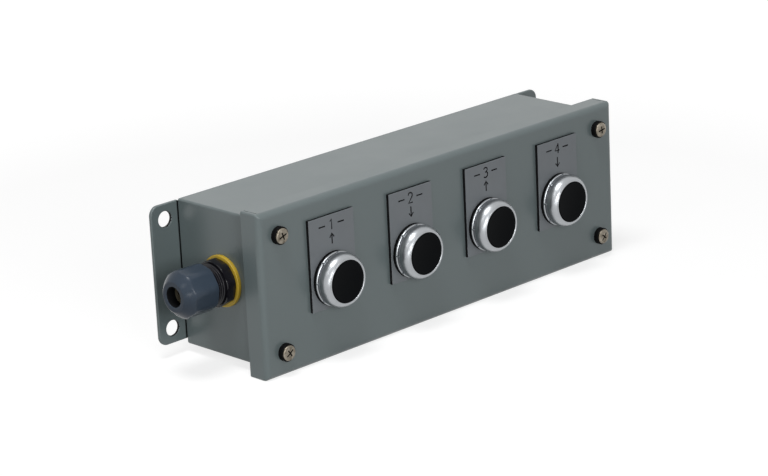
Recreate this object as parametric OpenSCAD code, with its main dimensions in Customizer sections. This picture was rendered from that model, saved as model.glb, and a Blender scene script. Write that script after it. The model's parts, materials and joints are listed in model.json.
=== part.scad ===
// Pushbutton control panel: a long steel enclosure for wall mounting, with a lift-off front cover
// that carries four flush pushbuttons and their contact blocks, and a cable gland in its left end.
// Millimetres. The origin is the middle of the mounting holes on the face that meets the wall, X runs
// along the length, Y points back into the wall and Z points up, so the buttons face -Y.

/* [Enclosure box] */
// Outside length of the box
box_l = 239.6; // [210:0.1:320]
// Outside height of the box
box_h = 74.2; // [66:0.1:100]
// Outside depth of the box, from its rear face to its open rim
box_d = 58.8; // [54:0.1:90]
// Thickness of the box and cover sheet
sheet_t = 1.9; // [1.4:0.1:2.4]
// Outside bend radius of the box's rear edges
box_bend_r = 4; // [2.6:0.1:6]

/* [Corner tabs] */
// Thickness of the tab sheet
tab_t = 2.4; // [1.5:0.1:3]
// Width of a tab along the length of the box
tab_w = 14; // [11:0.1:18]
// Height of a tab along the end wall
tab_h = 13.5; // [11.5:0.1:18]
// Depth of the flange that is welded to the end wall
tab_flange = 12; // [8:0.1:20]
// Corner cut off the inner corner of the shelf
tab_chamfer = 4; // [2:0.1:5]
// How far the shelf lies below the rim of the box
tab_drop = 1.5; // [0.5:0.1:4]
// Length of the threaded collar behind the shelf
tab_collar_l = 3; // [1.5:0.1:6]
// Wall round the thread in the collar
tab_collar_wall = 1.4; // [0.8:0.1:1.8]
// Screw centre from the inside of the end wall
tab_hole_x = 4.9; // [4.4:0.1:6]
// Screw centre from the inside of the top or bottom wall
tab_hole_z = 6.1; // [4.6:0.1:7]

/* [Mounting feet] */
// Thickness of a foot
foot_t = 1.9; // [1.5:0.1:4]
// How far a foot reaches past the end of the box
foot_reach = 16.8; // [15:0.1:30]
// How far the top and bottom of a foot stay inside the height of the box
foot_inset = 1.7; // [0:0.1:4]
// How far the feet sit above the middle of the box
foot_rise = 0.8; // [-2:0.1:2]
// Length of a foot behind the box
foot_lap = 15; // [13:0.1:60]
// Cut across the inner corners of a foot, behind the box
foot_lap_chamfer = 12; // [4:0.1:12.6]
// Radius of the outer corners of a foot
foot_corner_r = 4.8; // [2:0.1:7]
// Diameter of the mounting holes
foot_hole_d = 7.9; // [5:0.1:9]
// Hole centre from the outer edge of the foot
foot_hole_edge = 8.6; // [7:0.1:9]
// Hole centre from the top or bottom of the foot
foot_hole_margin = 7.7; // [6:0.1:14]

/* [Cover] */
// How far the cover stands out past each end of the box
end_overhang = 5.2; // [4:0.1:8]
// How far the cover stands out past the top and bottom of the box
side_overhang = 4.2; // [4:0.1:8]
// Depth of the cover, from its face to the edge of its lips
cover_lip = 12; // [8:0.1:16]
// Outside bend radius between the face and the lips
cover_bend_r = 3; // [2.6:0.1:4]
// Width of the open seam at the corners of the lips
seam_w = 0.7; // [0.3:0.1:1.5]
// Thickness of the cover gasket
gasket_t = 3; // [2:0.1:5]
// Clearance between the gasket and the cover screws
gasket_screw_gap = 0.4; // [0.2:0.1:1.5]

/* [Cover screws] */
// Diameter of the screw thread
screw_d = 4.8; // [4:0.1:4.8]
// Diameter of the screw head
screw_head_d = 7.6; // [7.2:0.1:9.6]
// Height of the screw head
screw_head_h = 2; // [1.8:0.1:4]
// Chamfer round the screw head
screw_head_chamfer = 0.5; // [0.2:0.1:0.8]
// How far the sealing washer stands out round the head
screw_washer_rim = 0.6; // [0.2:0.1:1.2]
// Thickness of the sealing washer
screw_washer_t = 1.8; // [0.6:0.1:2.4]
// Width of the driver slot
slot_w = 1.2; // [0.8:0.1:1.6]
// Depth of the driver slot
slot_depth = 1.1; // [0.6:0.1:1.4]
// Length of the short cross arm of the recess
cross_l = 4.6; // [3:0.1:6]
// How far the screw reaches past its thread
screw_tip = 1.5; // [0.5:0.1:4]

/* [Pushbuttons] */
// Number of pushbuttons, which the list of sub-parts and the legends count on
button_count = 4; // [4:1:4]
// Centres of the outer pushbuttons from the ends of the cover
button_inset = 44.75; // [38:0.05:52]
// How far the button row lies below the middle of the cover
button_drop = 0.5; // [0:0.1:2]
// Diameter of the button cap
cap_d = 21; // [20:0.1:24]
// How far the cap travels
button_travel = 4; // [2:0.1:4.5]
// Thickness of the cap at its rim
cap_t = 2.4; // [1.6:0.1:3]
// Depth of the dish in the cap
cap_dish = 0.5; // [0.2:0.1:1]
// Chamfer round the cap
cap_chamfer = 0.35; // [0.1:0.05:0.6]
// How far the cap sits below the front rim of its bezel
cap_recess = 0.2; // [0:0.05:1]
// Diameter of the cap's stem
stem_d = 11.8; // [9:0.1:12.4]

/* [Bezel rings] */
// Height of the ring above its washer
ring_h = 8.4; // [7:0.1:11]
// How far the flange stands out past the foot of the bulge
ring_flange_w = 1; // [0.8:0.1:3]
// Thickness of the ring's flange
ring_flange_t = 1.2; // [0.8:0.1:2]
// Wall of the ring at its front rim
ring_rim_w = 0.77; // [0.5:0.01:1.5]
// How much wider the ring's radius is at the foot of its bulge
ring_taper = 1.25; // [0.8:0.05:1.6]
// How far the bulge swells past a straight cone
ring_bulge = 1.6; // [0.8:0.1:2]
// Number of spanner ribs on the flange
ring_ribs = 8; // [4:1:12]
// Width of a spanner rib
ring_rib_w = 0.8; // [0.5:0.1:1.5]
// Height of a spanner rib above the flange
ring_rib_h = 1; // [0.4:0.1:1.5]
// Turn of the first rib
ring_rib_turn = 15; // [0:1:45]

/* [Legend plates] */
// Width of a legend plate
legend_w = 29.6; // [28:0.1:40]
// Height of a legend plate
legend_h = 46; // [44:0.1:52]
// Thickness of a legend plate
legend_t = 1.8; // [0.8:0.1:2.4]
// Upper edge of the plate above the button centre
legend_top = 31.8; // [30:0.1:33]
// Thickness of the black washer between the plate and the bezel ring
bezel_washer_t = 1.3; // [0.5:0.1:2]

/* [Operators] */
// Wall of the threaded sleeve
sleeve_wall = 1.9; // [1.2:0.1:2.2]
// Thickness of the rear flange of the operator
body_flange_t = 4; // [2:0.1:6]
// How far the rear flange stands out round the sleeve
body_flange_w = 3.37; // [2:0.01:5]
// Thickness of the gasket between the flange and the cover
panel_gasket_t = 1.2; // [0.6:0.1:2]
// Depth of the spring pocket behind the cover face
spring_pocket = 4.5; // [3:0.1:6]
// Length of the guide for the stem
guide_l = 8.5; // [5:0.1:12]
// Diameter of the operator's rear barrel
barrel_d = 20; // [19:0.1:22]
// Diameter of the spring wire
spring_wire_d = 1.1; // [0.8:0.1:1.4]
// Number of turns of the return spring
spring_turns = 5; // [3:1:6]
// Thickness of the clip that holds the stem
clip_t = 0.8; // [0.6:0.1:1.2]
// How far the clip stands out round the stem
clip_reach = 2.2; // [1.5:0.1:3]
// Depth of the clip's groove in the stem
clip_groove = 0.9; // [0.5:0.1:1.2]

/* [Contact blocks] */
// Width of a contact block
block_w = 24; // [22:0.1:30]
// Height of a contact block
block_h = 44; // [42:0.1:56]
// Depth of a contact block
block_d = 24; // [22:0.1:28]
// Wall of a contact block
block_wall = 1.6; // [1.2:0.1:2]
// Distance of each pole from the middle of the block
pole_x = 5.6; // [5.2:0.1:6]
// Width of the contact strips
strip_w = 5; // [3:0.1:5.4]
// Thickness of the contact strips
strip_t = 0.9; // [0.6:0.1:1.2]
// Length of a moving bridge
bridge_l = 20; // [18:0.1:24]
// Thickness of a moving bridge
bridge_t = 0.8; // [0.6:0.1:1]
// Width of the moving carrier
carrier_h = 9; // [7:0.1:10]
// How much of the bridge's end lies over a fixed contact
contact_lap = 3.4; // [2:0.1:4]
// Diameter of a terminal screw's head
terminal_head_d = 5.6; // [4:0.1:6]
// Height of a terminal screw's head
terminal_head_h = 2; // [1.2:0.1:3]
// Diameter of a terminal screw's thread
terminal_screw_d = 3; // [2:0.1:3.4]
// Length of a terminal screw's thread
terminal_screw_l = 6; // [4:0.1:7]
// Terminal screw centre from the end of the block
terminal_edge = 5; // [4.6:0.1:6]

/* [Cable gland] */
// Gland axis in front of the mounting face
gland_front = 32.3; // [26:0.1:38]
// Gland axis above the middle of the box
gland_rise = 1.6; // [-4:0.1:4]
// Diameter of the thread in the wall
gland_thread_d = 20; // [18:0.1:21]
// Width of the sealing ring
seal_w = 2.95; // [2.6:0.05:6]
// Thickness of the sealing ring
seal_t = 1.7; // [1:0.1:3]
// How far the flats of the body collar stand out round the neck
collar_step = 0.2; // [0.1:0.1:1]
// How far the trimmed corners of the collar stand out past its flats
collar_trim = 0.7; // [0.3:0.1:1.2]
// Length of the body collar
collar_l = 6; // [4:0.1:9]
// How far the thread for the dome nut stands out past the thread in the wall
neck_step = 1.3; // [0.2:0.1:1.5]
// Length of thread between the collar and the dome nut
gland_bare_l = 5.9; // [1:0.1:8]
// Pitch of the thread ridges
gland_ridge = 1.5; // [1:0.1:2]
// Wall of the dome nut at its flats
nut_wall = 0.8; // [0.7:0.1:3]
// Length of the dome nut
nut_l = 18; // [16:0.1:22]
// Diameter of the nut's nose
nose_d = 13.8; // [13:0.1:18]
// Length over which the nose is domed
dome_l = 9; // [5:0.1:10]
// Fullness of the dome, from 1 for a cone to 2 for an ellipse
dome_fullness = 1.5; // [1.2:0.1:2]
// Length of the cable hole through the nose
nose_wall = 5.4; // [3:0.1:6]
// Diameter of the cable hole in the nose
nose_hole_d = 10.2; // [10:0.1:12]
// Diameter of the hole in the rubber insert
insert_hole_d = 9.5; // [6:0.1:9.8]
// Wall of the rubber insert
insert_wall = 3.6; // [3:0.1:4]
// Length of the rubber insert
insert_l = 13; // [9:0.1:14]
// Wall of the gland body at its inner end
gland_wall = 2.6; // [2:0.1:3.5]
// Wall of the locknut at its flats
locknut_wall = 2.9; // [2:0.1:5]
// Thickness of the locknut
locknut_t = 5; // [3:0.1:7]
// How far the gland thread reaches past the locknut
gland_tail = 1.5; // [0.5:0.1:4]

/* [Ground stud] */
// Thread diameter of the stud
stud_d = 5; // [4:0.1:6]
// Length of the stud
stud_l = 13; // [10:0.1:16]
// Width across the flats of its nut
stud_nut_af = 8; // [7.4:0.1:10]
// Thickness of the nut
stud_nut_t = 4; // [2.5:0.1:5]
// Diameter of its washer
stud_washer_d = 10; // [9:0.1:14]
// Thickness of the washer
stud_washer_t = 1; // [0.5:0.1:2]
// Distance of the stud from the inside of the right end wall
stud_inset = 12; // [9:0.1:16]

/* [Fits] */
// Radial clearance between sliding or turning parts
run_gap = 0.08; // [0.04:0.01:0.1]
// Radial clearance of a thread in its nut
thread_gap = 0.1; // [0.04:0.01:0.1]
// Radial clearance of a part in a drilled hole
hole_gap = 0.15; // [0.1:0.01:0.3]
// Clearance left between parts that stop near each other
stop_gap = 0.2; // [0.1:0.05:0.4]

/* [Hidden] */
$fn = 48;
// Overrun of every cut past the face that it opens
eps = 0.5;
// Segments in a quarter of a bend
bend_steps = 8;

// Height of the middle of the box and cover
mid_z = -foot_rise;

// Cover and box levels, measured along Y
cover_l = box_l + 2 * end_overhang;
cover_h = box_h + 2 * side_overhang;
box_back_y = -foot_t;
rim_y = box_back_y - box_d;
face_y = rim_y - gasket_t - sheet_t;
rim_level = -sheet_t - gasket_t;

// Feet
foot_h = box_h - 2 * foot_inset;
foot_hole_span = foot_h - 2 * foot_hole_margin;

// Places of the cover screws and the buttons, as seen from the front
screw_x = box_l / 2 - sheet_t - tab_hole_x;
screw_z = box_h / 2 - sheet_t - tab_hole_z;
screw_places = [[-screw_x, screw_z], [-screw_x, -screw_z], [screw_x, screw_z], [screw_x, -screw_z]];
slot_turns = [20, 35, 10, 50];
screw_washer_d = screw_head_d + 2 * screw_washer_rim;
gasket_lap = tab_hole_x - screw_d / 2 - gasket_screw_gap;
button_pitch = (cover_l - 2 * button_inset) / (button_count - 1);
button_places = [for (i = [0:button_count - 1]) [(i - (button_count - 1) / 2) * button_pitch, -button_drop]];

// Levels above the cover face, positive towards the user
washer_level = legend_t;
ring_level = washer_level + bezel_washer_t;
ring_top = ring_level + ring_h;
cap_level = ring_top - cap_recess;
cap_under = cap_level - cap_t;
bore_r = cap_d / 2 + run_gap;
sleeve_r = bore_r - thread_gap;
panel_hole_r = sleeve_r + hole_gap;
body_flange_r = sleeve_r + body_flange_w;
ring_front_r = bore_r + ring_rim_w;
ring_foot_r = ring_front_r + ring_taper;
ring_flange_r = ring_foot_r + ring_flange_w;
stem_r = stem_d / 2;
guide_r = stem_r + run_gap;
pocket_r = sleeve_r - sleeve_wall;
sleeve_top = cap_under - button_travel - stop_gap;
guide_level = -spring_pocket;
barrel_end = guide_level - guide_l;
clip_level = barrel_end - stop_gap;
stem_end = clip_level - clip_t - clip_reach;
spring_r = (stem_r + pocket_r) / 2;
wire_r = spring_wire_d / 2;

// Levels inside a contact block, measured like the ones above
block_top = barrel_end;
block_end = block_top - block_d;
carrier_top = stem_end;
contact_gap = button_travel + stop_gap;
bridge_level = carrier_top - block_wall - strip_t;
strip_level = bridge_level - bridge_t - contact_gap;
carrier_end = strip_level - strip_t;
contact_z = bridge_l / 2 - contact_lap;
terminal_z = block_h / 2 - terminal_edge;

// Levels on the gland, measured outwards from the end wall
gland_y = -gland_front;
collar_end = seal_t + collar_l;
nut_start = collar_end + gland_bare_l;
nut_end = nut_start + nut_l;
neck_r = gland_thread_d / 2 + neck_step;
collar_af = 2 * (neck_r + collar_step);
seal_r = gland_thread_d / 2 + hole_gap + seal_w;
insert_r = insert_hole_d / 2 + insert_wall;
insert_seat_r = insert_r + run_gap;
nut_bore_r = neck_r + thread_gap;
nut_af = 2 * (nut_bore_r + nut_wall);
locknut_af = gland_thread_d + 2 * thread_gap + 2 * locknut_wall;
neck_end = nut_end - nose_wall - insert_wall - stop_gap;
insert_end = nut_end - nose_wall - stop_gap;
gland_bore_r = gland_thread_d / 2 - gland_wall;
ridge_depth = gland_ridge / 3;

// Points of an arc, with its two end points
function arc(centre, r, from, to, steps) =
    [for (i = [0:steps]) centre + r * [cos(from + (to - from) * i / steps), sin(from + (to - from) * i / steps)]];

// Outline of a pan that is bent up at both sides: width w, depth d from y = 0, radius r at y = 0
function pan_outline(w, d, r) = concat(
    arc([-w / 2 + r, r], r, 180, 270, bend_steps),
    arc([w / 2 - r, r], r, 270, 360, bend_steps),
    [[w / 2, d], [-w / 2, d]]
);

// Points of a plate between x0 and x1 whose corners at x1 are round and whose corners at x0 are cut
function tongue_outline(x0, x1, h, r, cut) = concat(
    [[x0 + cut, h / 2], [x0, h / 2 - cut], [x0, -h / 2 + cut], [x0 + cut, -h / 2]],
    arc([x1 - r, -h / 2 + r], r, -90, 0, bend_steps),
    arc([x1 - r, h / 2 - r], r, 0, 90, bend_steps)
);

// Radius of the circle through two points whose arc rises above their chord
function bulge_radius(chord, rise) = (chord * chord / 4 + rise * rise) / (2 * rise);

// Puts a child on the cover face at a place, with its own Z pointing out of the face
module on_face(place, level = 0) {
    translate([place[0], face_y - level, mid_z + place[1]])
        rotate([90, 0, 0])
            children();
}

// Puts a child on the left end wall on the gland axis, with its own Z pointing out of the wall
module on_end(level = 0) {
    translate([-box_l / 2 - level, gland_y, mid_z + gland_rise])
        rotate([0, -90, 0])
            children();
}

// Solid pan with bent edges: l by h, depth d, its closed face at the local z = 0
module pan(l, h, d, r) {
    intersection() {
        rotate([90, 0, 0])
            linear_extrude(h, center = true)
                pan_outline_shape(l, d, r);
        rotate([90, 0, 90])
            linear_extrude(l, center = true)
                pan_outline_shape(h, d, r);
    }
}

module pan_outline_shape(w, d, r) {
    polygon(pan_outline(w, d, r));
}

// Flat ring with a round hole
module ring(outer_r, inner_r, t) {
    difference() {
        cylinder(r = outer_r, h = t);
        translate([0, 0, -eps])
            cylinder(r = inner_r, h = t + 2 * eps);
    }
}

// Hexagonal prism given by its width across the flats
module hexagon(af, t) {
    cylinder(r = af / 2 / cos(30), h = t, $fn = 6);
}

module enclosure_box() {
    color("#5f6a6d")
        difference() {
            translate([0, box_back_y, mid_z])
                rotate([90, 0, 0])
                    pan(box_l, box_h, box_d, box_bend_r);
            translate([0, box_back_y - sheet_t, mid_z])
                rotate([90, 0, 0])
                    pan(box_l - 2 * sheet_t, box_h - 2 * sheet_t, box_d, box_bend_r - sheet_t);
            on_end(-sheet_t - eps)
                cylinder(r = gland_thread_d / 2 + hole_gap, h = sheet_t + 2 * eps);
        }
}

// One bent tab in the upper right corner of the box, at the rim
module corner_tab() {
    inner_x = box_l / 2 - sheet_t;
    inner_z = box_h / 2 - sheet_t;
    shelf_y = rim_y + tab_drop;
    thread_r = screw_d / 2 + thread_gap;
    difference() {
        union() {
            translate([0, shelf_y + tab_t, 0])
                rotate([90, 0, 0])
                    linear_extrude(tab_t)
                        polygon([
                            [inner_x, inner_z],
                            [inner_x - tab_w, inner_z],
                            [inner_x - tab_w, inner_z - tab_h + tab_chamfer],
                            [inner_x - tab_w + tab_chamfer, inner_z - tab_h],
                            [inner_x, inner_z - tab_h]
                        ]);
            translate([inner_x - tab_t, shelf_y, inner_z - tab_h])
                cube([tab_t, tab_flange, tab_h]);
            translate([screw_x, shelf_y + tab_t + tab_collar_l, screw_z])
                rotate([90, 0, 0])
                    cylinder(r = thread_r + tab_collar_wall, h = tab_collar_l + tab_t);
        }
        translate([screw_x, shelf_y + tab_t + tab_collar_l + eps, screw_z])
            rotate([90, 0, 0])
                cylinder(r = thread_r, h = tab_collar_l + tab_t + 2 * eps);
    }
}

module corner_tabs() {
    color("#8f9496")
        translate([0, 0, mid_z])
            for (mirror_x = [0, 1], mirror_z = [0, 1])
                mirror([mirror_x, 0, 0])
                    mirror([0, 0, mirror_z])
                        corner_tab();
}

// Flat foot plate welded behind one end of the box, drawn for the right end
module mounting_foot() {
    x0 = box_l / 2 - foot_lap;
    x1 = box_l / 2 + foot_reach;
    rotate([90, 0, 0])
        difference() {
            linear_extrude(foot_t)
                polygon(tongue_outline(x0, x1, foot_h, foot_corner_r, foot_lap_chamfer));
            for (side = [-1, 1])
                translate([x1 - foot_hole_edge, side * foot_hole_span / 2, -eps])
                    cylinder(d = foot_hole_d, h = foot_t + 2 * eps);
        }
}

module mounting_foot_right() {
    color("#5f6a6d")
        mounting_foot();
}

module mounting_foot_left() {
    color("#5f6a6d")
        mirror([1, 0, 0])
            mounting_foot();
}

// Stud on the rear wall with its washer and nut
module ground_stud() {
    color("#c8b45a")
        translate([box_l / 2 - sheet_t - stud_inset, box_back_y - sheet_t, mid_z])
            rotate([90, 0, 0]) {
                cylinder(d = stud_d, h = stud_l);
                ring(stud_washer_d / 2, stud_d / 2 + hole_gap, stud_washer_t);
                translate([0, 0, stud_washer_t])
                    difference() {
                        hexagon(stud_nut_af, stud_nut_t);
                        translate([0, 0, -eps])
                            cylinder(r = stud_d / 2 + thread_gap, h = stud_nut_t + 2 * eps);
                    }
            }
}

// Body of the gland: thread in the wall, hexagonal collar and ridged neck
module gland_body() {
    tail = sheet_t + locknut_t + gland_tail;
    neck_l = neck_end - collar_end;
    ridge_count = floor(gland_bare_l / gland_ridge);
    color("#26262c")
        on_end()
            difference() {
                union() {
                    translate([0, 0, -tail])
                        cylinder(d = gland_thread_d, h = tail + collar_end);
                    translate([0, 0, seal_t])
                        intersection() {
                            hexagon(collar_af, collar_l);
                            cylinder(r = collar_af / 2 + collar_trim, h = collar_l);
                        }
                    translate([0, 0, collar_end])
                        cylinder(r = neck_r, h = neck_l);
                }
                translate([0, 0, -tail - eps])
                    cylinder(r = gland_bore_r, h = tail + neck_end + 2 * eps);
                translate([0, 0, insert_end - insert_l])
                    cylinder(r = insert_seat_r, h = insert_l);
                for (i = [0:ridge_count - 1])
                    translate([0, 0, collar_end + i * gland_ridge])
                        rotate_extrude()
                            polygon([
                                [neck_r - ridge_depth, gland_ridge / 4],
                                [neck_r + eps, gland_ridge / 4],
                                [neck_r + eps, gland_ridge * 3 / 4],
                                [neck_r - ridge_depth, gland_ridge * 3 / 4]
                            ]);
            }
}

module gland_seal_ring() {
    color("#d0b12e")
        on_end()
            ring(seal_r, gland_thread_d / 2 + hole_gap, seal_t);
}

module gland_locknut() {
    color("#26262c")
        on_end(-sheet_t - locknut_t)
            difference() {
                hexagon(locknut_af, locknut_t);
                translate([0, 0, -eps])
                    cylinder(r = gland_thread_d / 2 + thread_gap, h = locknut_t + 2 * eps);
            }
}

module gland_insert() {
    color("#2c2a22")
        on_end(insert_end - insert_l)
            ring(insert_r, insert_hole_d / 2, insert_l);
}

// Dome nut: a hexagonal prism trimmed by a domed body of revolution
module gland_dome_nut() {
    corner_r = nut_af / 2 / cos(30);
    skirt_r = (corner_r + nut_af / 2) / 2;
    nose_r = nose_d / 2;
    dome_w = skirt_r - nose_r;
    cavity_end = insert_end + stop_gap;
    cone_start = neck_end + stop_gap;
    color("#3c4652")
        on_end()
            difference() {
                intersection() {
                    translate([0, 0, nut_start])
                        hexagon(nut_af, nut_l);
                    rotate_extrude()
                        polygon(concat(
                            [[0, nut_end], [0, nut_start], [skirt_r, nut_start]],
                            [for (i = [0:bend_steps])
                                [nose_r + dome_w * pow(cos(90 * i / bend_steps), 2 / dome_fullness),
                                 nut_end - dome_l + dome_l * pow(sin(90 * i / bend_steps), 2 / dome_fullness)]]
                        ));
                }
                translate([0, 0, nut_start - eps])
                    cylinder(r = nut_bore_r, h = cone_start - nut_start + eps);
                translate([0, 0, cone_start])
                    cylinder(r1 = nut_bore_r, r2 = insert_r + stop_gap, h = cavity_end - cone_start);
                translate([0, 0, nut_start])
                    cylinder(d = nose_hole_d, h = nut_l + eps);
            }
}

// Cover: a folded pan with open corner seams, button holes and screw holes
module cover() {
    color("#6a7477")
        difference() {
            translate([0, face_y, mid_z])
                rotate([-90, 0, 0])
                    pan(cover_l, cover_h, cover_lip, cover_bend_r);
            translate([0, face_y + sheet_t, mid_z])
                rotate([-90, 0, 0])
                    pan(cover_l - 2 * sheet_t, cover_h - 2 * sheet_t, cover_lip, cover_bend_r - sheet_t);
            for (place = button_places)
                on_face(place, -sheet_t - eps)
                    cylinder(r = panel_hole_r, h = sheet_t + 2 * eps);
            for (place = screw_places)
                on_face(place, -sheet_t - eps)
                    cylinder(r = screw_d / 2 + hole_gap, h = sheet_t + 2 * eps);
            for (side_x = [-1, 1], side_z = [-1, 1])
                translate([
                    side_x * (cover_l / 2 - sheet_t - seam_w / 2),
                    face_y + cover_bend_r + (cover_lip - cover_bend_r + eps) / 2,
                    mid_z + side_z * (cover_h / 2 - sheet_t / 2)
                ])
                    cube([seam_w, cover_lip - cover_bend_r + eps, sheet_t + 2 * eps], center = true);
        }
}

module cover_gasket() {
    inset = sheet_t + gasket_lap;
    color("#1e1f20")
        translate([0, rim_y, mid_z])
            rotate([90, 0, 0])
                linear_extrude(gasket_t)
                    difference() {
                        square([box_l, box_h], center = true);
                        square([box_l - 2 * inset, box_h - 2 * inset], center = true);
                    }
}

module screw_washers() {
    color("#161718")
        for (place = screw_places)
            on_face(place)
                ring(screw_washer_d / 2, screw_d / 2 + hole_gap, screw_washer_t);
}

module cover_screw(i) {
    reach = -rim_level + tab_drop + tab_t + tab_collar_l + screw_tip;
    head_r = screw_head_d / 2;
    color("#a39d8c")
        on_face(screw_places[i - 1])
            difference() {
                union() {
                    translate([0, 0, -reach])
                        cylinder(d = screw_d, h = reach + screw_washer_t);
                    translate([0, 0, screw_washer_t])
                        rotate_extrude()
                            polygon([
                                [0, 0], [head_r, 0], [head_r, screw_head_h - screw_head_chamfer],
                                [head_r - screw_head_chamfer, screw_head_h], [0, screw_head_h]
                            ]);
                }
                translate([0, 0, screw_washer_t + screw_head_h - slot_depth])
                    rotate([0, 0, slot_turns[i - 1]]) {
                        translate([-head_r - eps, -slot_w / 2, 0])
                            cube([screw_head_d + 2 * eps, slot_w, slot_depth + eps]);
                        translate([-slot_w / 2, -cross_l / 2, 0])
                            cube([slot_w, cross_l, slot_depth + eps]);
                    }
            }
}

module legend_plate(i) {
    color("#74777b")
        on_face(button_places[i - 1])
            difference() {
                translate([-legend_w / 2, legend_top - legend_h, 0])
                    cube([legend_w, legend_h, legend_t]);
                translate([0, 0, -eps])
                    cylinder(r = panel_hole_r, h = legend_t + 2 * eps);
            }
}

module bezel_washers() {
    color("#121314")
        for (place = button_places)
            on_face(place, washer_level)
                ring(ring_flange_r, panel_hole_r, bezel_washer_t);
}

// Bezel ring: a bulged chrome nut with a thin ribbed flange, screwed on the operator's sleeve
module bezel_ring(i) {
    bulge_h = ring_h - ring_flange_t;
    bulge_chord = norm([ring_taper, bulge_h]);
    bulge_r = bulge_radius(bulge_chord, ring_bulge);
    lean = atan2(ring_taper, bulge_h);
    back_off = bulge_r - ring_bulge;
    centre = [
        (ring_foot_r + ring_front_r) / 2 - back_off * cos(lean),
        ring_flange_t + bulge_h / 2 - back_off * sin(lean)
    ];
    color("#c9cbcd")
        on_face(button_places[i - 1], ring_level)
            difference() {
                union() {
                    rotate_extrude($fn = 96)
                        intersection() {
                            translate(centre)
                                circle(r = bulge_r);
                            translate([bore_r - eps, 0])
                                square([ring_flange_r, ring_h]);
                        }
                    cylinder(r = ring_flange_r, h = ring_flange_t);
                    for (k = [0:ring_ribs - 1])
                        rotate([0, 0, ring_rib_turn + k * 360 / ring_ribs])
                            translate([bore_r + eps, -ring_rib_w / 2, ring_flange_t / 2])
                                cube([ring_flange_r - bore_r - 2 * eps, ring_rib_w, ring_flange_t / 2 + ring_rib_h]);
                }
                translate([0, 0, -eps])
                    cylinder(r = bore_r, h = ring_h + 2 * eps);
            }
}

// Operator body: threaded sleeve through the cover, rear flange and barrel with the stem guide
module operator_body(i) {
    flange_top = -sheet_t - panel_gasket_t;
    color("#2b2d30")
        on_face(button_places[i - 1])
            difference() {
                union() {
                    translate([0, 0, flange_top - body_flange_t])
                        cylinder(r = sleeve_r, h = sleeve_top - flange_top + body_flange_t);
                    translate([0, 0, flange_top - body_flange_t])
                        cylinder(r = body_flange_r, h = body_flange_t);
                    translate([0, 0, barrel_end])
                        cylinder(d = barrel_d, h = flange_top - barrel_end);
                }
                translate([0, 0, guide_level])
                    cylinder(r = pocket_r, h = sleeve_top - guide_level + eps);
                translate([0, 0, barrel_end - eps])
                    cylinder(r = guide_r, h = guide_l + 2 * eps);
            }
}

module panel_gaskets() {
    color("#161718")
        for (place = button_places)
            on_face(place, -sheet_t - panel_gasket_t)
                ring(body_flange_r, panel_hole_r, panel_gasket_t);
}

// Button cap with its dished face and its stem
module button_cap(i) {
    cap_r = cap_d / 2;
    dish_r = bulge_radius(cap_d - 2 * cap_chamfer, cap_dish);
    groove_r = stem_r - clip_groove;
    color("#17181a")
        on_face(button_places[i - 1])
            difference() {
                rotate_extrude($fn = 96)
                    polygon([
                        [0, cap_level], [cap_r - cap_chamfer, cap_level], [cap_r, cap_level - cap_chamfer],
                        [cap_r, cap_under], [stem_r, cap_under], [stem_r, clip_level],
                        [groove_r, clip_level], [groove_r, clip_level - clip_t], [stem_r, clip_level - clip_t],
                        [stem_r, stem_end], [0, stem_end]
                    ]);
                translate([0, 0, cap_level - cap_dish + dish_r])
                    sphere(r = dish_r, $fn = 96);
            }
}

// Split clip in the stem's groove, which stops the stem at the end of its guide
module stem_clip(i) {
    groove_r = stem_r - clip_groove;
    color("#9ca0a3")
        on_face(button_places[i - 1], clip_level - clip_t)
            difference() {
                ring(stem_r + clip_reach, groove_r, clip_t);
                translate([0, -groove_r / 2, -eps])
                    cube([stem_r + clip_reach + eps, groove_r, clip_t + 2 * eps]);
            }
}

// Return spring round the stem, as one swept wire with closed ends
module return_spring(i) {
    wire_sides = 6;
    turn_steps = 14;
    bottom = guide_level + stop_gap / 2 + wire_r;
    top = cap_under - stop_gap / 2 - wire_r;
    count = spring_turns * turn_steps;
    points = [for (k = [0:count], s = [0:wire_sides - 1])
        let (
            turn = 360 * k / turn_steps,
            side = 360 * s / wire_sides,
            r = spring_r + wire_r * cos(side)
        )
        [r * cos(turn), r * sin(turn), bottom + (top - bottom) * k / count + wire_r * sin(side)]];
    faces = concat(
        [[for (s = [0:wire_sides - 1]) wire_sides - 1 - s]],
        [[for (s = [0:wire_sides - 1]) count * wire_sides + s]],
        [for (k = [0:count - 1], s = [0:wire_sides - 1])
            [k * wire_sides + s, k * wire_sides + (s + 1) % wire_sides,
             (k + 1) * wire_sides + (s + 1) % wire_sides, (k + 1) * wire_sides + s]]
    );
    color("#8d9296")
        on_face(button_places[i - 1])
            polyhedron(points, faces, convexity = spring_turns);
}

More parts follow.
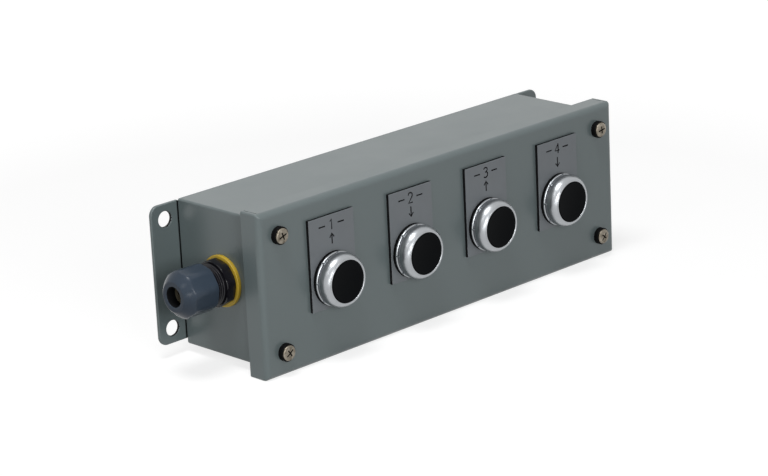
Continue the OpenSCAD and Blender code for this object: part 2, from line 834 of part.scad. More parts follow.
// Contact block: a moulded housing with a well for the stem, a slot for the carrier, two pole channels
// and four terminals
module contact_block(i) {
    channel_w = strip_w + 2 * run_gap;
    pocket_w = terminal_head_d + 2 * run_gap;
    channel_top = bridge_level + strip_t;
    slot_half = carrier_h / 2 + run_gap;
    inner_w = block_w - 2 * block_wall;
    well_end = stem_end - button_travel - stop_gap;
    color("#3a3d42")
        on_face(button_places[i - 1])
            difference() {
                translate([-block_w / 2, -block_h / 2, block_end])
                    cube([block_w, block_h, block_d]);
                translate([-inner_w / 2, -slot_half, carrier_end - button_travel - stop_gap])
                    cube([inner_w, 2 * slot_half, block_top - carrier_end + button_travel + stop_gap + eps]);
                translate([0, 0, well_end])
                    cylinder(r = stem_r + clip_reach + hole_gap, h = block_top - well_end + eps);
                for (side = [-1, 1])
                    translate([side * pole_x - channel_w / 2, -bridge_l / 2 - stop_gap, strip_level - stop_gap])
                        cube([channel_w, bridge_l + 2 * stop_gap, channel_top - strip_level + stop_gap]);
                for (side = [-1, 1], end = [0, 1])
                    mirror([0, end, 0]) {
                        translate([side * pole_x - channel_w / 2, contact_z, strip_level - strip_t])
                            cube([channel_w, block_h / 2 - contact_z + eps, strip_t]);
                        translate([side * pole_x - pocket_w / 2, terminal_z - terminal_edge + stop_gap, block_end - eps])
                            cube([pocket_w, 2 * terminal_edge, strip_level - strip_t - block_end + eps]);
                        translate([side * pole_x, terminal_z, strip_level - eps])
                            cylinder(r = terminal_screw_d / 2 + run_gap, h = terminal_screw_l + eps);
                    }
            }
}

// Fixed contacts, each a strip from under the bridge to its terminal
module terminal_strips() {
    color("#c79a4a")
        for (place = button_places, side = [-1, 1], end = [0, 1])
            on_face(place)
                mirror([0, end, 0])
                    difference() {
                        translate([side * pole_x - strip_w / 2, contact_z, strip_level - strip_t])
                            cube([strip_w, block_h / 2 - contact_z - stop_gap, strip_t]);
                        translate([side * pole_x, terminal_z, strip_level - strip_t - eps])
                            cylinder(r = terminal_screw_d / 2 + run_gap, h = strip_t + 2 * eps);
                    }
}

module terminal_screws() {
    color("#b9bcbf")
        for (place = button_places, side = [-1, 1], end = [-1, 1])
            on_face(place)
                translate([side * pole_x, end * terminal_z, strip_level - strip_t])
                    difference() {
                        union() {
                            cylinder(d = terminal_screw_d, h = terminal_screw_l);
                            translate([0, 0, -terminal_head_h])
                                cylinder(d = terminal_head_d, h = terminal_head_h);
                        }
                        translate([-terminal_head_d / 2 - eps, -strip_t / 2, -terminal_head_h - eps])
                            cube([terminal_head_d + 2 * eps, strip_t, terminal_head_h / 2 + eps]);
                    }
}

// Carrier: the slider that the stem pushes, with a window for each bridge
module contact_carrier(i) {
    inner_w = block_w - 2 * block_wall - 2 * run_gap;
    color("#d8d5cc")
        on_face(button_places[i - 1])
            difference() {
                translate([-inner_w / 2, -carrier_h / 2, carrier_end])
                    cube([inner_w, carrier_h, carrier_top - carrier_end]);
                for (side = [-1, 1])
                    translate([side * pole_x - strip_w / 2, -carrier_h / 2 - eps, bridge_level - bridge_t])
                        cube([strip_w, carrier_h + 2 * eps, bridge_t]);
            }
}

module contact_bridge(i) {
    color("#c9ccd0")
        on_face(button_places[i - 1])
            for (side = [-1, 1])
                translate([side * pole_x - strip_w / 2, -bridge_l / 2, bridge_level - bridge_t])
                    cube([strip_w, bridge_l, bridge_t]);
}

enclosure_box();
corner_tabs();
mounting_foot_left();
mounting_foot_right();
ground_stud();
gland_body();
gland_seal_ring();
gland_locknut();
gland_insert();
gland_dome_nut();
cover();
cover_gasket();
screw_washers();
bezel_washers();
panel_gaskets();
terminal_strips();
terminal_screws();
cover_screw(1);  // cover_screw_1
cover_screw(2);  // cover_screw_2
cover_screw(3);  // cover_screw_3
cover_screw(4);  // cover_screw_4
legend_plate(1);  // legend_plate_1
legend_plate(2);  // legend_plate_2
legend_plate(3);  // legend_plate_3
legend_plate(4);  // legend_plate_4
bezel_ring(1);  // bezel_ring_1
bezel_ring(2);  // bezel_ring_2
bezel_ring(3);  // bezel_ring_3
bezel_ring(4);  // bezel_ring_4
operator_body(1);  // operator_body_1
operator_body(2);  // operator_body_2
operator_body(3);  // operator_body_3
operator_body(4);  // operator_body_4
contact_block(1);  // contact_block_1
contact_block(2);  // contact_block_2
contact_block(3);  // contact_block_3
contact_block(4);  // contact_block_4
button_cap(1);  // button_cap_1
button_cap(2);  // button_cap_2
button_cap(3);  // button_cap_3
button_cap(4);  // button_cap_4
stem_clip(1);  // stem_clip_1
stem_clip(2);  // stem_clip_2
stem_clip(3);  // stem_clip_3
stem_clip(4);  // stem_clip_4
return_spring(1);  // return_spring_1
return_spring(2);  // return_spring_2
return_spring(3);  // return_spring_3
return_spring(4);  // return_spring_4
contact_carrier(1);  // contact_carrier_1
contact_carrier(2);  // contact_carrier_2
contact_carrier(3);  // contact_carrier_3
contact_carrier(4);  // contact_carrier_4
contact_bridge(1);  // contact_bridge_1
contact_bridge(2);  // contact_bridge_2
contact_bridge(3);  // contact_bridge_3
contact_bridge(4);  // contact_bridge_4
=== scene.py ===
"""Looks of a wall-mounted pushbutton control panel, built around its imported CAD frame.

Metres, X along the panel, Y back into the wall, Z up, as in the CAD frame.
"""

import json
import logging
import math
from dataclasses import dataclass, field, replace
from enum import Enum
from typing import Callable, Iterable, Sequence

import bmesh
import bpy
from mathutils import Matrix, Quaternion, Vector

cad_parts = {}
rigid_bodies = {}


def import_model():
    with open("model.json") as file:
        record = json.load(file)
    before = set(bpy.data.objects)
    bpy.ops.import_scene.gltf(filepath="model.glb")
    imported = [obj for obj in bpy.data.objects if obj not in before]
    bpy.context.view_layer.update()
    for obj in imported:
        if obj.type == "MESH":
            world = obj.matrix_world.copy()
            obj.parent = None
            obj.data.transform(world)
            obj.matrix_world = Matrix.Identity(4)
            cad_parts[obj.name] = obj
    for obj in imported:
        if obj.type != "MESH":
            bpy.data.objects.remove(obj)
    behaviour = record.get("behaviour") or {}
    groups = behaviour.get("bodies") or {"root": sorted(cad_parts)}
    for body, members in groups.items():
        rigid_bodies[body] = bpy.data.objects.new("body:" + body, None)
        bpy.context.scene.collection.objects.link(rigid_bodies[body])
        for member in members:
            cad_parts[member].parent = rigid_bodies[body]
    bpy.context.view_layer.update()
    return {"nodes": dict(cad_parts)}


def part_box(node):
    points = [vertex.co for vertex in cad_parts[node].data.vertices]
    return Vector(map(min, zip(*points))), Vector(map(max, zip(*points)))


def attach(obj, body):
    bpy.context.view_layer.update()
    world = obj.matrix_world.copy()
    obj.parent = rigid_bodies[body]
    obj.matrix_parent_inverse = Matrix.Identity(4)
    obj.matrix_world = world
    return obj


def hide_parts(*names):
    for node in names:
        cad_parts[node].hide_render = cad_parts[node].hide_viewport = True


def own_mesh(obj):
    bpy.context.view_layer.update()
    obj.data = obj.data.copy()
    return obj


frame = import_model()
MM = 0.001
LOG = logging.getLogger("panel")

Socket = bpy.types.NodeSocket
Point = tuple[float, float, float]
Profile = list[tuple[float, float]]
Placing = Callable[[float, float, float], Point]

# Angles in degrees above which an edge stays crisp: on sheet, on turned parts and on fine or eased ones.
EDGE_ANGLE = 32.0
TURNED_ANGLE = 28.0
FINE_ANGLE = 40.0
# Near-black colour painted as the shade in the crevice between the box's rear bend and the feet, and the
# width over which this painted shade fades out.
CREVICE_SHADE = "050505"
CREVICE_FADE_MM = 0.4
# Noise scale times the width of a blob, roughness of the noise, and strength of the relief.
NOISE_PER_BLOB = 0.6
NOISE_ROUGHNESS = 0.55
RELIEF_STRENGTH = 0.6
# How much finer the marks lie along each axis on turned and on rolled metal.
LATHE_STRETCH = (1, 30, 1)
ROLLED_STRETCH = (1, 12, 12)


# Nodes and finishes


def linear(hex_colour: str) -> tuple[float, float, float, float]:
    """Turns an sRGB hex colour into the linear colour that shaders take.

    Args:
        hex_colour: Six hex digits, such as "8a8f90".
    Returns:
        Linear red, green, blue and an alpha of 1.
    """
    parts = [int(hex_colour[i:i + 2], 16) / 255 for i in (0, 2, 4)]
    red, green, blue = [c / 12.92 if c <= 0.04045 else ((c + 0.055) / 1.055) ** 2.4 for c in parts]
    return red, green, blue, 1.0


def add_node(tree: bpy.types.NodeTree, kind: str, links: dict[str | int, object] | None = None,
             **settings: object) -> bpy.types.Node:
    """Adds a node with its settings, and sets or links its inputs.

    Args:
        tree: The tree that gets the node.
        kind: Blender's name of the node type.
        links: Input name or index to a constant value or an output socket.
        **settings: Attributes of the node.
    Returns:
        The new node.
    """
    node = tree.nodes.new(kind)
    for name, value in settings.items():
        setattr(node, name, value)
    for key, value in (links or {}).items():
        if isinstance(value, Socket):
            tree.links.new(value, node.inputs[key])
        else:
            node.inputs[key].default_value = value
    return node


def empty_tree(owner: bpy.types.Material | bpy.types.World) -> bpy.types.NodeTree:
    """Clears the node tree of a material or world.

    Args:
        owner: The material or world.
    Returns:
        Its empty tree.
    """
    owner.use_nodes = True
    tree = owner.node_tree
    tree.nodes.clear()
    return tree


class Grain(Enum):
    """Which surface relief a finish carries."""

    NONE = 0
    ORANGE_PEEL = 1
    MOULD_SPARK = 2
    LATHE = 3
    ROLLED = 4


@dataclass(frozen=True)
class Finish:
    """One material of the panel: uneven colour and gloss, and a relief or a zone of painted shade where set.

    The sizes are real ones in millimetres. Colours are sRGB hex.
    """

    name: str
    colour: str
    roughness: float
    metallic: float = 0.0
    ior: float = 1.5
    second: str = ""
    mottle_mm: float = 12.0
    mottle_share: float = 0.25
    rough_spread: float = 0.08
    grain: Grain = Grain.NONE
    grain_mm: float = 0.6
    relief_mm: float = 0.01
    shade_within_mm: float = 0.0
    front_from_mm: float = 1.7

    def _noise(self, tree: bpy.types.NodeTree, coords: Socket, size_mm: float, detail: float) -> Socket:
        """Adds noise whose blobs have a given size.

        Args:
            tree: The tree that gets the nodes.
            coords: Where the pattern is read.
            size_mm: Width of a blob in millimetres.
            detail: Levels of finer noise.
        Returns:
            The noise value.
        """
        return add_node(tree, "ShaderNodeTexNoise", {
            "Vector": coords, "Scale": NOISE_PER_BLOB / (size_mm * MM), "Detail": detail,
            "Roughness": NOISE_ROUGHNESS,
        }).outputs["Fac"]

    def _relief(self, tree: bpy.types.NodeTree, coords: Socket) -> Socket | None:
        """Adds the height pattern of the finish.

        Args:
            tree: The tree that gets the nodes.
            coords: Where the pattern is read.
        Returns:
            The height, or None where the finish is smooth.
        """
        if self.grain is Grain.NONE:
            return None
        if self.grain is Grain.LATHE:
            spread = add_node(tree, "ShaderNodeMapping", {"Vector": coords, "Scale": LATHE_STRETCH})
            return self._noise(tree, spread.outputs[0], self.grain_mm, 2)
        if self.grain is Grain.ROLLED:
            spread = add_node(tree, "ShaderNodeMapping", {"Vector": coords, "Scale": ROLLED_STRETCH})
            return self._noise(tree, spread.outputs[0], self.grain_mm, 3)
        detail = 1.5 if self.grain is Grain.ORANGE_PEEL else 4
        return self._noise(tree, coords, self.grain_mm, detail)

    def _with_crevice_shade(self, tree: bpy.types.NodeTree, coords: Socket, colour: Socket) -> Socket:
        """Paints shade onto the front face, within the set distance along X from the middle.

        Args:
            tree: The tree that gets the nodes.
            coords: Where the pattern is read.
            colour: The colour outside the painted shade.
        Returns:
            The colour with the painted shade.
        """
        split = add_node(tree, "ShaderNodeSeparateXYZ", {0: coords})
        in_front = add_node(tree, "ShaderNodeMath", {0: split.outputs[1], 1: -self.front_from_mm * MM},
                            operation="LESS_THAN")
        away = add_node(tree, "ShaderNodeMath", {0: split.outputs[0]}, operation="ABSOLUTE")
        zone = add_node(tree, "ShaderNodeMapRange", {
            "Value": away.outputs[0], "From Min": (self.shade_within_mm - CREVICE_FADE_MM) * MM,
            "From Max": self.shade_within_mm * MM, "To Min": 1.0, "To Max": 0.0})
        both = add_node(tree, "ShaderNodeMath", {0: zone.outputs[0], 1: in_front.outputs[0]},
                        operation="MULTIPLY")
        return add_node(tree, "ShaderNodeMix", {0: both.outputs[0], 6: colour, 7: linear(CREVICE_SHADE)},
                        data_type="RGBA").outputs[2]

    def material(self) -> bpy.types.Material:
        """Builds the node material.

        Returns:
            The material, made once for each finish.
        """
        known = bpy.data.materials.get(self.name)
        if known:
            return known
        made = bpy.data.materials.new(self.name)
        tree = empty_tree(made)
        coords = add_node(tree, "ShaderNodeTexCoord").outputs["Object"]
        blobs = self._noise(tree, coords, self.mottle_mm, 3)
        share = add_node(tree, "ShaderNodeMapRange", {
            "Value": blobs, "From Min": 0.35, "From Max": 0.65, "To Min": 0.0, "To Max": self.mottle_share})
        tint = add_node(tree, "ShaderNodeMix", {
            0: share.outputs[0], 6: linear(self.colour), 7: linear(self.second or self.colour)},
            data_type="RGBA")
        dull = add_node(tree, "ShaderNodeMapRange", {
            "Value": self._noise(tree, coords, self.mottle_mm / 3, 4), "From Min": 0.3, "From Max": 0.7,
            "To Min": max(self.roughness - self.rough_spread, 0.02),
            "To Max": self.roughness + self.rough_spread})
        colour = tint.outputs[2]
        # Painted shade of the crevice, where the finish sets one.
        if self.shade_within_mm:
            colour = self._with_crevice_shade(tree, coords, colour)
        shader = add_node(tree, "ShaderNodeBsdfPrincipled", {
            "Base Color": colour, "Roughness": dull.outputs[0], "Metallic": self.metallic, "IOR": self.ior})
        height = self._relief(tree, coords)
        if height:
            bump = add_node(tree, "ShaderNodeBump", {
                "Height": height, "Strength": RELIEF_STRENGTH, "Distance": self.relief_mm * MM})
            tree.links.new(bump.outputs[0], shader.inputs["Normal"])
        add_node(tree, "ShaderNodeOutputMaterial", {"Surface": shader.outputs[0]})
        made.diffuse_color = linear(self.colour)
        return made


# Sprayed machine enamel on steel: an even blue-green grey with a soft sheen and a faint orange peel.
ENAMEL = Finish("machine_enamel_grey", "687374", 0.31, second="657071", mottle_mm=60, mottle_share=0.5,
                rough_spread=0.03, grain=Grain.ORANGE_PEEL, grain_mm=1.4, relief_mm=0.008)
# The same enamel on the feet, with near-black shade painted onto them in the crevice behind the box.
ENAMEL_FOOT_CREVICE_SHADE = replace(ENAMEL, name="machine_enamel_foot_painted_shade", shade_within_mm=120.4)
# Walls of the feet's holes: nearly black, a painted shade inside the holes.
HOLE_SHADE = Finish("painted_shade_foot_holes", "0c0c0d", 0.7, ior=1.3, second="191715", mottle_mm=1.5)
# Grey cap ply of engraving laminate, satin: a faintly blue grey, duller than the paint.
LAMINATE_FACE = Finish("laminate_grey_face", "73787c", 0.45, ior=1.45, second="707478", mottle_mm=9,
                       mottle_share=0.5, grain=Grain.MOULD_SPARK, grain_mm=0.35, relief_mm=0.006)
# Black core of the laminate: shows at the sawn edges and at the bottom of each engraved stroke.
LAMINATE_CORE = Finish("laminate_black_core", "08080a", 0.6, ior=1.25, second="101012", mottle_mm=3)
# Die-cast zinc, polished and chromed: bright grey metal with soft-edged reflections.
CHROME = Finish("chrome_on_zinc", "aaadb0", 0.31, metallic=1.0, second="9fa2a5", mottle_mm=6,
                mottle_share=0.4, rough_spread=0.03, grain=Grain.ORANGE_PEEL, grain_mm=5.0, relief_mm=0.004)
# Moulded phenolic button cap: near black, satin, with a fine spark-eroded grain.
CAP_BLACK = Finish("moulded_phenolic_black", "06080a", 0.36, ior=1.11, second="090b0e", mottle_mm=6,
                   grain=Grain.MOULD_SPARK, grain_mm=0.3, relief_mm=0.004)
# Nickel-plated steel gone dull: warm beige-grey screws with uneven gloss.
SCREW_NICKEL = Finish("dulled_nickel_steel", "958e82", 0.4, metallic=1.0, second="5c5549", mottle_mm=1.6,
                      mottle_share=0.9, rough_spread=0.12, grain=Grain.MOULD_SPARK, grain_mm=0.5,
                      relief_mm=0.01)
# Painted shade in the driver recess: a dull brown-black that makes the cross readable.
RECESS_SHADE = Finish("painted_shade_recess", "1c1915", 0.75, ior=1.3, second="100e0b", mottle_mm=0.8,
                      mottle_share=0.7)
# Cured black rubber: deep matte black of washers and gaskets.
RUBBER = Finish("black_rubber", "050506", 0.6, ior=1.18, second="09090a", mottle_mm=2.5,
                grain=Grain.MOULD_SPARK, grain_mm=0.4, relief_mm=0.01)
# Foamed neoprene strip: charcoal, with open pores that kill its gloss.
NEOPRENE = Finish("neoprene_foam", "1b1c1d", 0.85, second="101011", mottle_mm=1.2, mottle_share=0.9,
                  grain=Grain.MOULD_SPARK, grain_mm=0.7, relief_mm=0.12)
# Injection-moulded polyamide nut: blue-grey, semi-gloss, with faint flow clouds.
POLYAMIDE_NUT = Finish("polyamide_blue_grey", "3a4552", 0.2, ior=1.26, second="36404c", mottle_mm=7,
                       mottle_share=0.5, rough_spread=0.04, grain=Grain.MOULD_SPARK, grain_mm=0.45,
                       relief_mm=0.003)
# Inside of the nut's cable hole: black, almost without gloss, a painted shade.
NUT_BORE_SHADE = Finish("painted_shade_nut_bore", "0a0b0d", 0.7, ior=1.2, second="0e0f12", mottle_mm=3)
# The gland body of the same resin in a near-black plum shade.
POLYAMIDE_BODY = Finish("polyamide_black", "17161b", 0.2, ior=1.4, second="121116", mottle_mm=5,
                        mottle_share=0.6, rough_spread=0.04, grain=Grain.MOULD_SPARK, grain_mm=0.45,
                        relief_mm=0.003)
# Moulded seal in mustard yellow, with darker patches.
SEAL_YELLOW = Finish("moulded_seal_yellow", "c4a42c", 0.46, ior=1.5, second="a88c26", mottle_mm=4,
                     mottle_share=0.7, grain=Grain.MOULD_SPARK, grain_mm=0.5, relief_mm=0.01)
# Olive-brown rubber of the cable insert, matte.
INSERT_RUBBER = Finish("insert_rubber_olive", "4d4632", 0.6, second="3b3626", mottle_mm=2,
                       grain=Grain.MOULD_SPARK, grain_mm=0.4, relief_mm=0.015)
# Zinc-plated steel of the corner tabs and terminal screws: bluish metal with long marks.
ZINC_STEEL = Finish("zinc_plated_steel", "a9adb0", 0.36, metallic=1.0, second="8f9496", mottle_mm=6,
                    mottle_share=0.7, grain=Grain.ROLLED, grain_mm=2.5, relief_mm=0.008)
# Brass of the ground stud and the terminal strips: yellow, with fine turning marks.
BRASS = Finish("turned_brass", "c9a961", 0.28, metallic=1.0, second="a98a4a", mottle_mm=3,
               mottle_share=0.6, grain=Grain.LATHE, grain_mm=1.2, relief_mm=0.008)
# Die-cast zinc of the operator bodies, as cast: dull grey metal.
CAST_ZINC = Finish("cast_zinc", "6d7074", 0.5, metallic=1.0, second="54575b", mottle_mm=3,
                   mottle_share=0.7, grain=Grain.MOULD_SPARK, grain_mm=0.6, relief_mm=0.02)
# Glass-filled contact block: dark grey with a dry, even surface.
BLOCK_PLASTIC = Finish("glass_filled_block", "2d3034", 0.5, ior=1.55, second="363a3f", mottle_mm=4,
                       mottle_share=0.6, grain=Grain.MOULD_SPARK, grain_mm=0.35, relief_mm=0.01)
# Ivory carrier moulding, waxy acetal.
CARRIER_IVORY = Finish("acetal_ivory", "cfccbf", 0.38, ior=1.48, second="c2bda9", mottle_mm=6,
                       mottle_share=0.5, grain=Grain.MOULD_SPARK, grain_mm=0.5, relief_mm=0.005)
# Spring steel of the return springs and stem clips: bright, with fine streaks.
SPRING_STEEL = Finish("spring_steel_wire", "9a9da0", 0.3, metallic=1.0, second="7d8083", mottle_mm=1.5,
                      mottle_share=0.7, grain=Grain.ROLLED, grain_mm=0.8, relief_mm=0.006)
# Silver-faced copper bridge: pale metal with a warm tarnish.
CONTACT_SILVER = Finish("silver_faced_copper", "cfcac0", 0.25, metallic=1.0, second="b3a384", mottle_mm=3,
                        mottle_share=0.7, grain=Grain.ROLLED, grain_mm=1.0, relief_mm=0.004)


# Mesh code


def linked(name: str, data: bpy.types.ID) -> bpy.types.Object:
    """Makes an object of some data and links it to the scene.

    Args:
        name: Name of the object.
        data: Its mesh, curve, camera or lamp data.
    Returns:
        The object.
    """
    made = bpy.data.objects.new(name, data)
    bpy.context.scene.collection.objects.link(made)
    return made


def new_piece(name: str, verts: Sequence[Point], faces: Sequence[Sequence[int]],
              *finishes: Finish) -> bpy.types.Object:
    """Makes a mesh object at the origin and links it to the scene.

    Args:
        name: Name of the piece.
        verts: Corner points in metres.
        faces: Corner indices of each face.
        *finishes: Finishes of its material slots.
    Returns:
        The object.
    """
    mesh = bpy.data.meshes.new(name)
    mesh.from_pydata([tuple(v) for v in verts], [], [list(f) for f in faces])
    for finish in finishes:
        mesh.materials.append(finish.material())
    return linked(name, mesh)


def evaluated_mesh(holder: bpy.types.Object) -> bpy.types.Mesh:
    """Returns a plain mesh of an object as its modifiers or curve settings shape it."""
    graph = bpy.context.evaluated_depsgraph_get()
    return bpy.data.meshes.new_from_object(holder.evaluated_get(graph), depsgraph=graph)


def apply_modifiers(piece: bpy.types.Object) -> bpy.types.Mesh:
    """Turns a piece's modifiers into a plain mesh.

    Args:
        piece: The object to change.
    Returns:
        Its new mesh.
    """
    mesh = evaluated_mesh(piece)
    old = piece.data
    piece.modifiers.clear()
    piece.data = mesh
    mesh.name = piece.name
    bpy.data.meshes.remove(old)
    return mesh


def settle(piece: bpy.types.Object, sharp: float = EDGE_ANGLE) -> bpy.types.Object:
    """Applies the modifiers, points the faces outwards and marks the sharp edges.

    Args:
        piece: The object to finish.
        sharp: Angle in degrees above which an edge stays crisp.
    Returns:
        The same object with a plain mesh.
    """
    mesh = apply_modifiers(piece)
    work = bmesh.new()
    work.from_mesh(mesh)
    bmesh.ops.remove_doubles(work, verts=work.verts, dist=1e-7)
    bmesh.ops.recalc_face_normals(work, faces=work.faces)
    limit = math.radians(sharp)
    for face in work.faces:
        face.smooth = True
    for edge in work.edges:
        edge.smooth = len(edge.link_faces) != 2 or edge.calc_face_angle(0.0) < limit
    work.to_mesh(mesh)
    work.free()
    return piece


def ease_edges(piece: bpy.types.Object, width_mm: float, segments: int = 2,
               angle: float = EDGE_ANGLE) -> None:
    """Breaks the crisp edges of a piece and evens the shading of its flats.

    Args:
        piece: The object to change.
        width_mm: Width of the broken edge.
        segments: Steps across it.
        angle: Edges sharper than this, in degrees, are broken.
    """
    bevel = piece.modifiers.new("ease", "BEVEL")
    bevel.width = width_mm * MM
    bevel.segments = segments
    bevel.limit_method = "ANGLE"
    bevel.angle_limit = math.radians(angle)
    bevel.use_clamp_overlap = True
    bevel.miter_outer = "MITER_ARC"
    settle(piece, FINE_ANGLE)
    even = piece.modifiers.new("even", "WEIGHTED_NORMAL")
    even.weight = 90
    even.keep_sharp = True
    apply_modifiers(piece)


def cut(piece: bpy.types.Object, cutters: Iterable[bpy.types.Object]) -> None:
    """Cuts closed cutter solids out of a piece and deletes them.

    Args:
        piece: The object that is cut.
        cutters: The solids; their material goes onto the cut faces where they have one.
    """
    for cutter in cutters:
        tool = piece.modifiers.new("cut", "BOOLEAN")
        tool.operation = "DIFFERENCE"
        tool.solver = "EXACT"
        tool.material_mode = "TRANSFER"
        tool.object = cutter
        settle(piece)
        bpy.data.objects.remove(cutter)


def joined(name: str, parts: Sequence[bpy.types.Object]) -> bpy.types.Object:
    """Joins meshes into one object, keeping each part's materials.

    Args:
        name: Name of the joined piece.
        parts: Objects to join; they are removed.
    Returns:
        The joined object.
    """
    work = bmesh.new()
    slots: list[bpy.types.Material] = []
    for part in parts:
        remap = []
        for material in part.data.materials:
            if material not in slots:
                slots.append(material)
            remap.append(slots.index(material))
        start = len(work.faces)
        work.from_mesh(part.data)
        work.faces.ensure_lookup_table()
        for face in work.faces[start:]:
            face.material_index = remap[face.material_index] if remap else 0
    mesh = bpy.data.meshes.new(name)
    work.to_mesh(mesh)
    work.free()
    for material in slots:
        mesh.materials.append(material)
    for part in parts:
        bpy.data.objects.remove(part)
    return linked(name, mesh)


def arc(centre: tuple[float, float], radius: float, start: float, end: float, steps: int) -> Profile:
    """Makes an arc of straight steps.

    Args:
        centre: Centre of the arc.
        radius: Its radius.
        start: First angle in degrees.
        end: Last angle in degrees.
        steps: Number of steps.
    Returns:
        The points, with both ends.
    """
    return [(centre[0] + radius * math.cos(math.radians(start + (end - start) * i / steps)),
             centre[1] + radius * math.sin(math.radians(start + (end - start) * i / steps)))
            for i in range(steps + 1)]


def rounded_rectangle(half_w: float, half_h: float, radius: float, steps: int = 3) -> Profile:
    """Makes the outline of a rectangle with round corners.

    Args:
        half_w: Half of its width.
        half_h: Half of its height.
        radius: Radius of the corners.
        steps: Steps in each corner.
    Returns:
        The outline, counter-clockwise.
    """
    points: Profile = []
    for sx, sy, start in ((1, 1, 0), (-1, 1, 90), (-1, -1, 180), (1, -1, 270)):
        points += arc((sx * (half_w - radius), sy * (half_h - radius)), radius, start, start + 90, steps)
    return points


def turned(name: str, profile: Profile, place: Placing, steps: int, *finishes: Finish,
           sharp: float = TURNED_ANGLE,
           shape: Callable[[float, float, float], float] | None = None) -> bpy.types.Object:
    """Turns a closed profile about its own axis.

    Args:
        name: Name of the piece.
        profile: Closed outline as (radius, level) pairs, in millimetres.
        place: Turns local (x, y, level) in millimetres into a point of the frame in metres.
        steps: Facets round the axis.
        *finishes: Finishes of the piece.
        sharp: Angle in degrees above which an edge stays crisp.
        shape: Gives the radius for (radius, level, angle) where the form isn't round.
    Returns:
        The object.
    """
    verts, faces = [], []
    for k in range(steps):
        angle = 2 * math.pi * k / steps
        for radius, level in profile:
            r = shape(radius, level, angle) if shape else radius
            verts.append(place(r * math.cos(angle), r * math.sin(angle), level))
    count = len(profile)
    for k in range(steps):
        a, b = k * count, (k + 1) % steps * count
        for i in range(count):
            j = (i + 1) % count
            if profile[i][0] < 1e-9 and profile[j][0] < 1e-9:
                continue
            faces.append((a + i, a + j, b + j, b + i))
    piece = new_piece(name, verts, faces, *finishes)
    work = bmesh.new()
    work.from_mesh(piece.data)
    bmesh.ops.remove_doubles(work, verts=work.verts, dist=1e-7)
    bmesh.ops.dissolve_degenerate(work, edges=work.edges, dist=1e-8)
    work.to_mesh(piece.data)
    work.free()
    return settle(piece, sharp)


def slab(name: str, outline: Profile, low: float, high: float,
         place: Placing, *finishes: Finish) -> bpy.types.Object:
    """Extrudes a closed outline between two levels.

    Args:
        name: Name of the piece.
        outline: Closed outline in millimetres.
        low: Lower level in millimetres.
        high: Upper level in millimetres.
        place: Turns local (x, y, level) in millimetres into a point of the frame in metres.
        *finishes: Finishes of the piece.
    Returns:
        The object.
    """
    count = len(outline)
    verts = [place(x, y, z) for z in (low, high) for x, y in outline]
    faces = [list(range(count))[::-1], list(range(count, 2 * count))]
    faces += [[i, (i + 1) % count, (i + 1) % count + count, i + count] for i in range(count)]
    return settle(new_piece(name, verts, faces, *finishes))


def round_bar(name: str, radius: float, low: float, high: float, place: Placing, steps: int = 64,
              *finishes: Finish) -> bpy.types.Object:
    """Makes a round bar between two levels, for use as a cutter.

    Args:
        name: Name of the piece.
        radius: Radius in millimetres.
        low: Lower level in millimetres.
        high: Upper level in millimetres.
        place: Turns local (x, y, level) in millimetres into a point of the frame in metres.
        steps: Facets round it.
        *finishes: Finishes of the cut faces.
    Returns:
        The bar.
    """
    turns = [2 * math.pi * i / steps for i in range(steps)]
    outline = [(radius * math.cos(turn), radius * math.sin(turn)) for turn in turns]
    return slab(name, outline, low, high, place, *finishes)


def folded_pan(name: str, length: float, height: float, depth: float, bend: float, sheet: float,
               corner: float, place: Placing, finish: Finish, steps: int = 8) -> bpy.types.Object:
    """Folds a pan from sheet: a flat face with four walls bent up and closed at the corners.

    Args:
        name: Name of the piece.
        length: Outside length in millimetres.
        height: Outside height in millimetres.
        depth: Outside depth in millimetres.
        bend: Outside bend radius in millimetres.
        sheet: Thickness of the sheet in millimetres.
        corner: Radius to which the welded corners are ground, in millimetres.
        place: Turns local (x, z, depth) in millimetres into a point of the frame in metres.
        finish: Finish of the sheet.
        steps: Facets in each bend.
    Returns:
        The closed shell.
    """
    loops: list[list[Point]] = []

    def add(half_l: float, half_h: float, radius: float, level: float) -> None:
        """Adds one loop of points round the pan at a level."""
        loops.append([place(x, z, level) for x, z in rounded_rectangle(half_l, half_h, radius)])

    for inner in (0, 1):
        off = sheet * inner
        radius = max(bend - off, 0.2)
        ground = max(corner - off, 0.25)
        section = []
        for k in range(steps + 1):
            turn = math.pi / 2 * k / steps
            shrink = radius * (1 - math.sin(turn))
            section.append((length / 2 - off - shrink, height / 2 - off - shrink,
                            ground * (0.3 + 0.7 * math.sin(turn)), off + radius * (1 - math.cos(turn))))
        section.append((length / 2 - off, height / 2 - off, ground, depth))
        for item in (section if inner == 0 else section[::-1]):
            add(*item)
    count = len(loops[0])
    verts = [p for loop in loops for p in loop]
    last = (len(loops) - 1) * count
    faces: list[list[int]] = [list(range(count)), list(range(last, last + count))[::-1]]
    for start in range(0, last, count):
        for i in range(count):
            j = (i + 1) % count
            faces.append([start + i, start + j, start + count + j, start + count + i])
    return settle(new_piece(name, verts, faces, finish))


# Geometry nodes


@dataclass(frozen=True)
class Input:
    """A named input of a geometry tree."""

    name: str
    value: float | int
    whole: bool = False


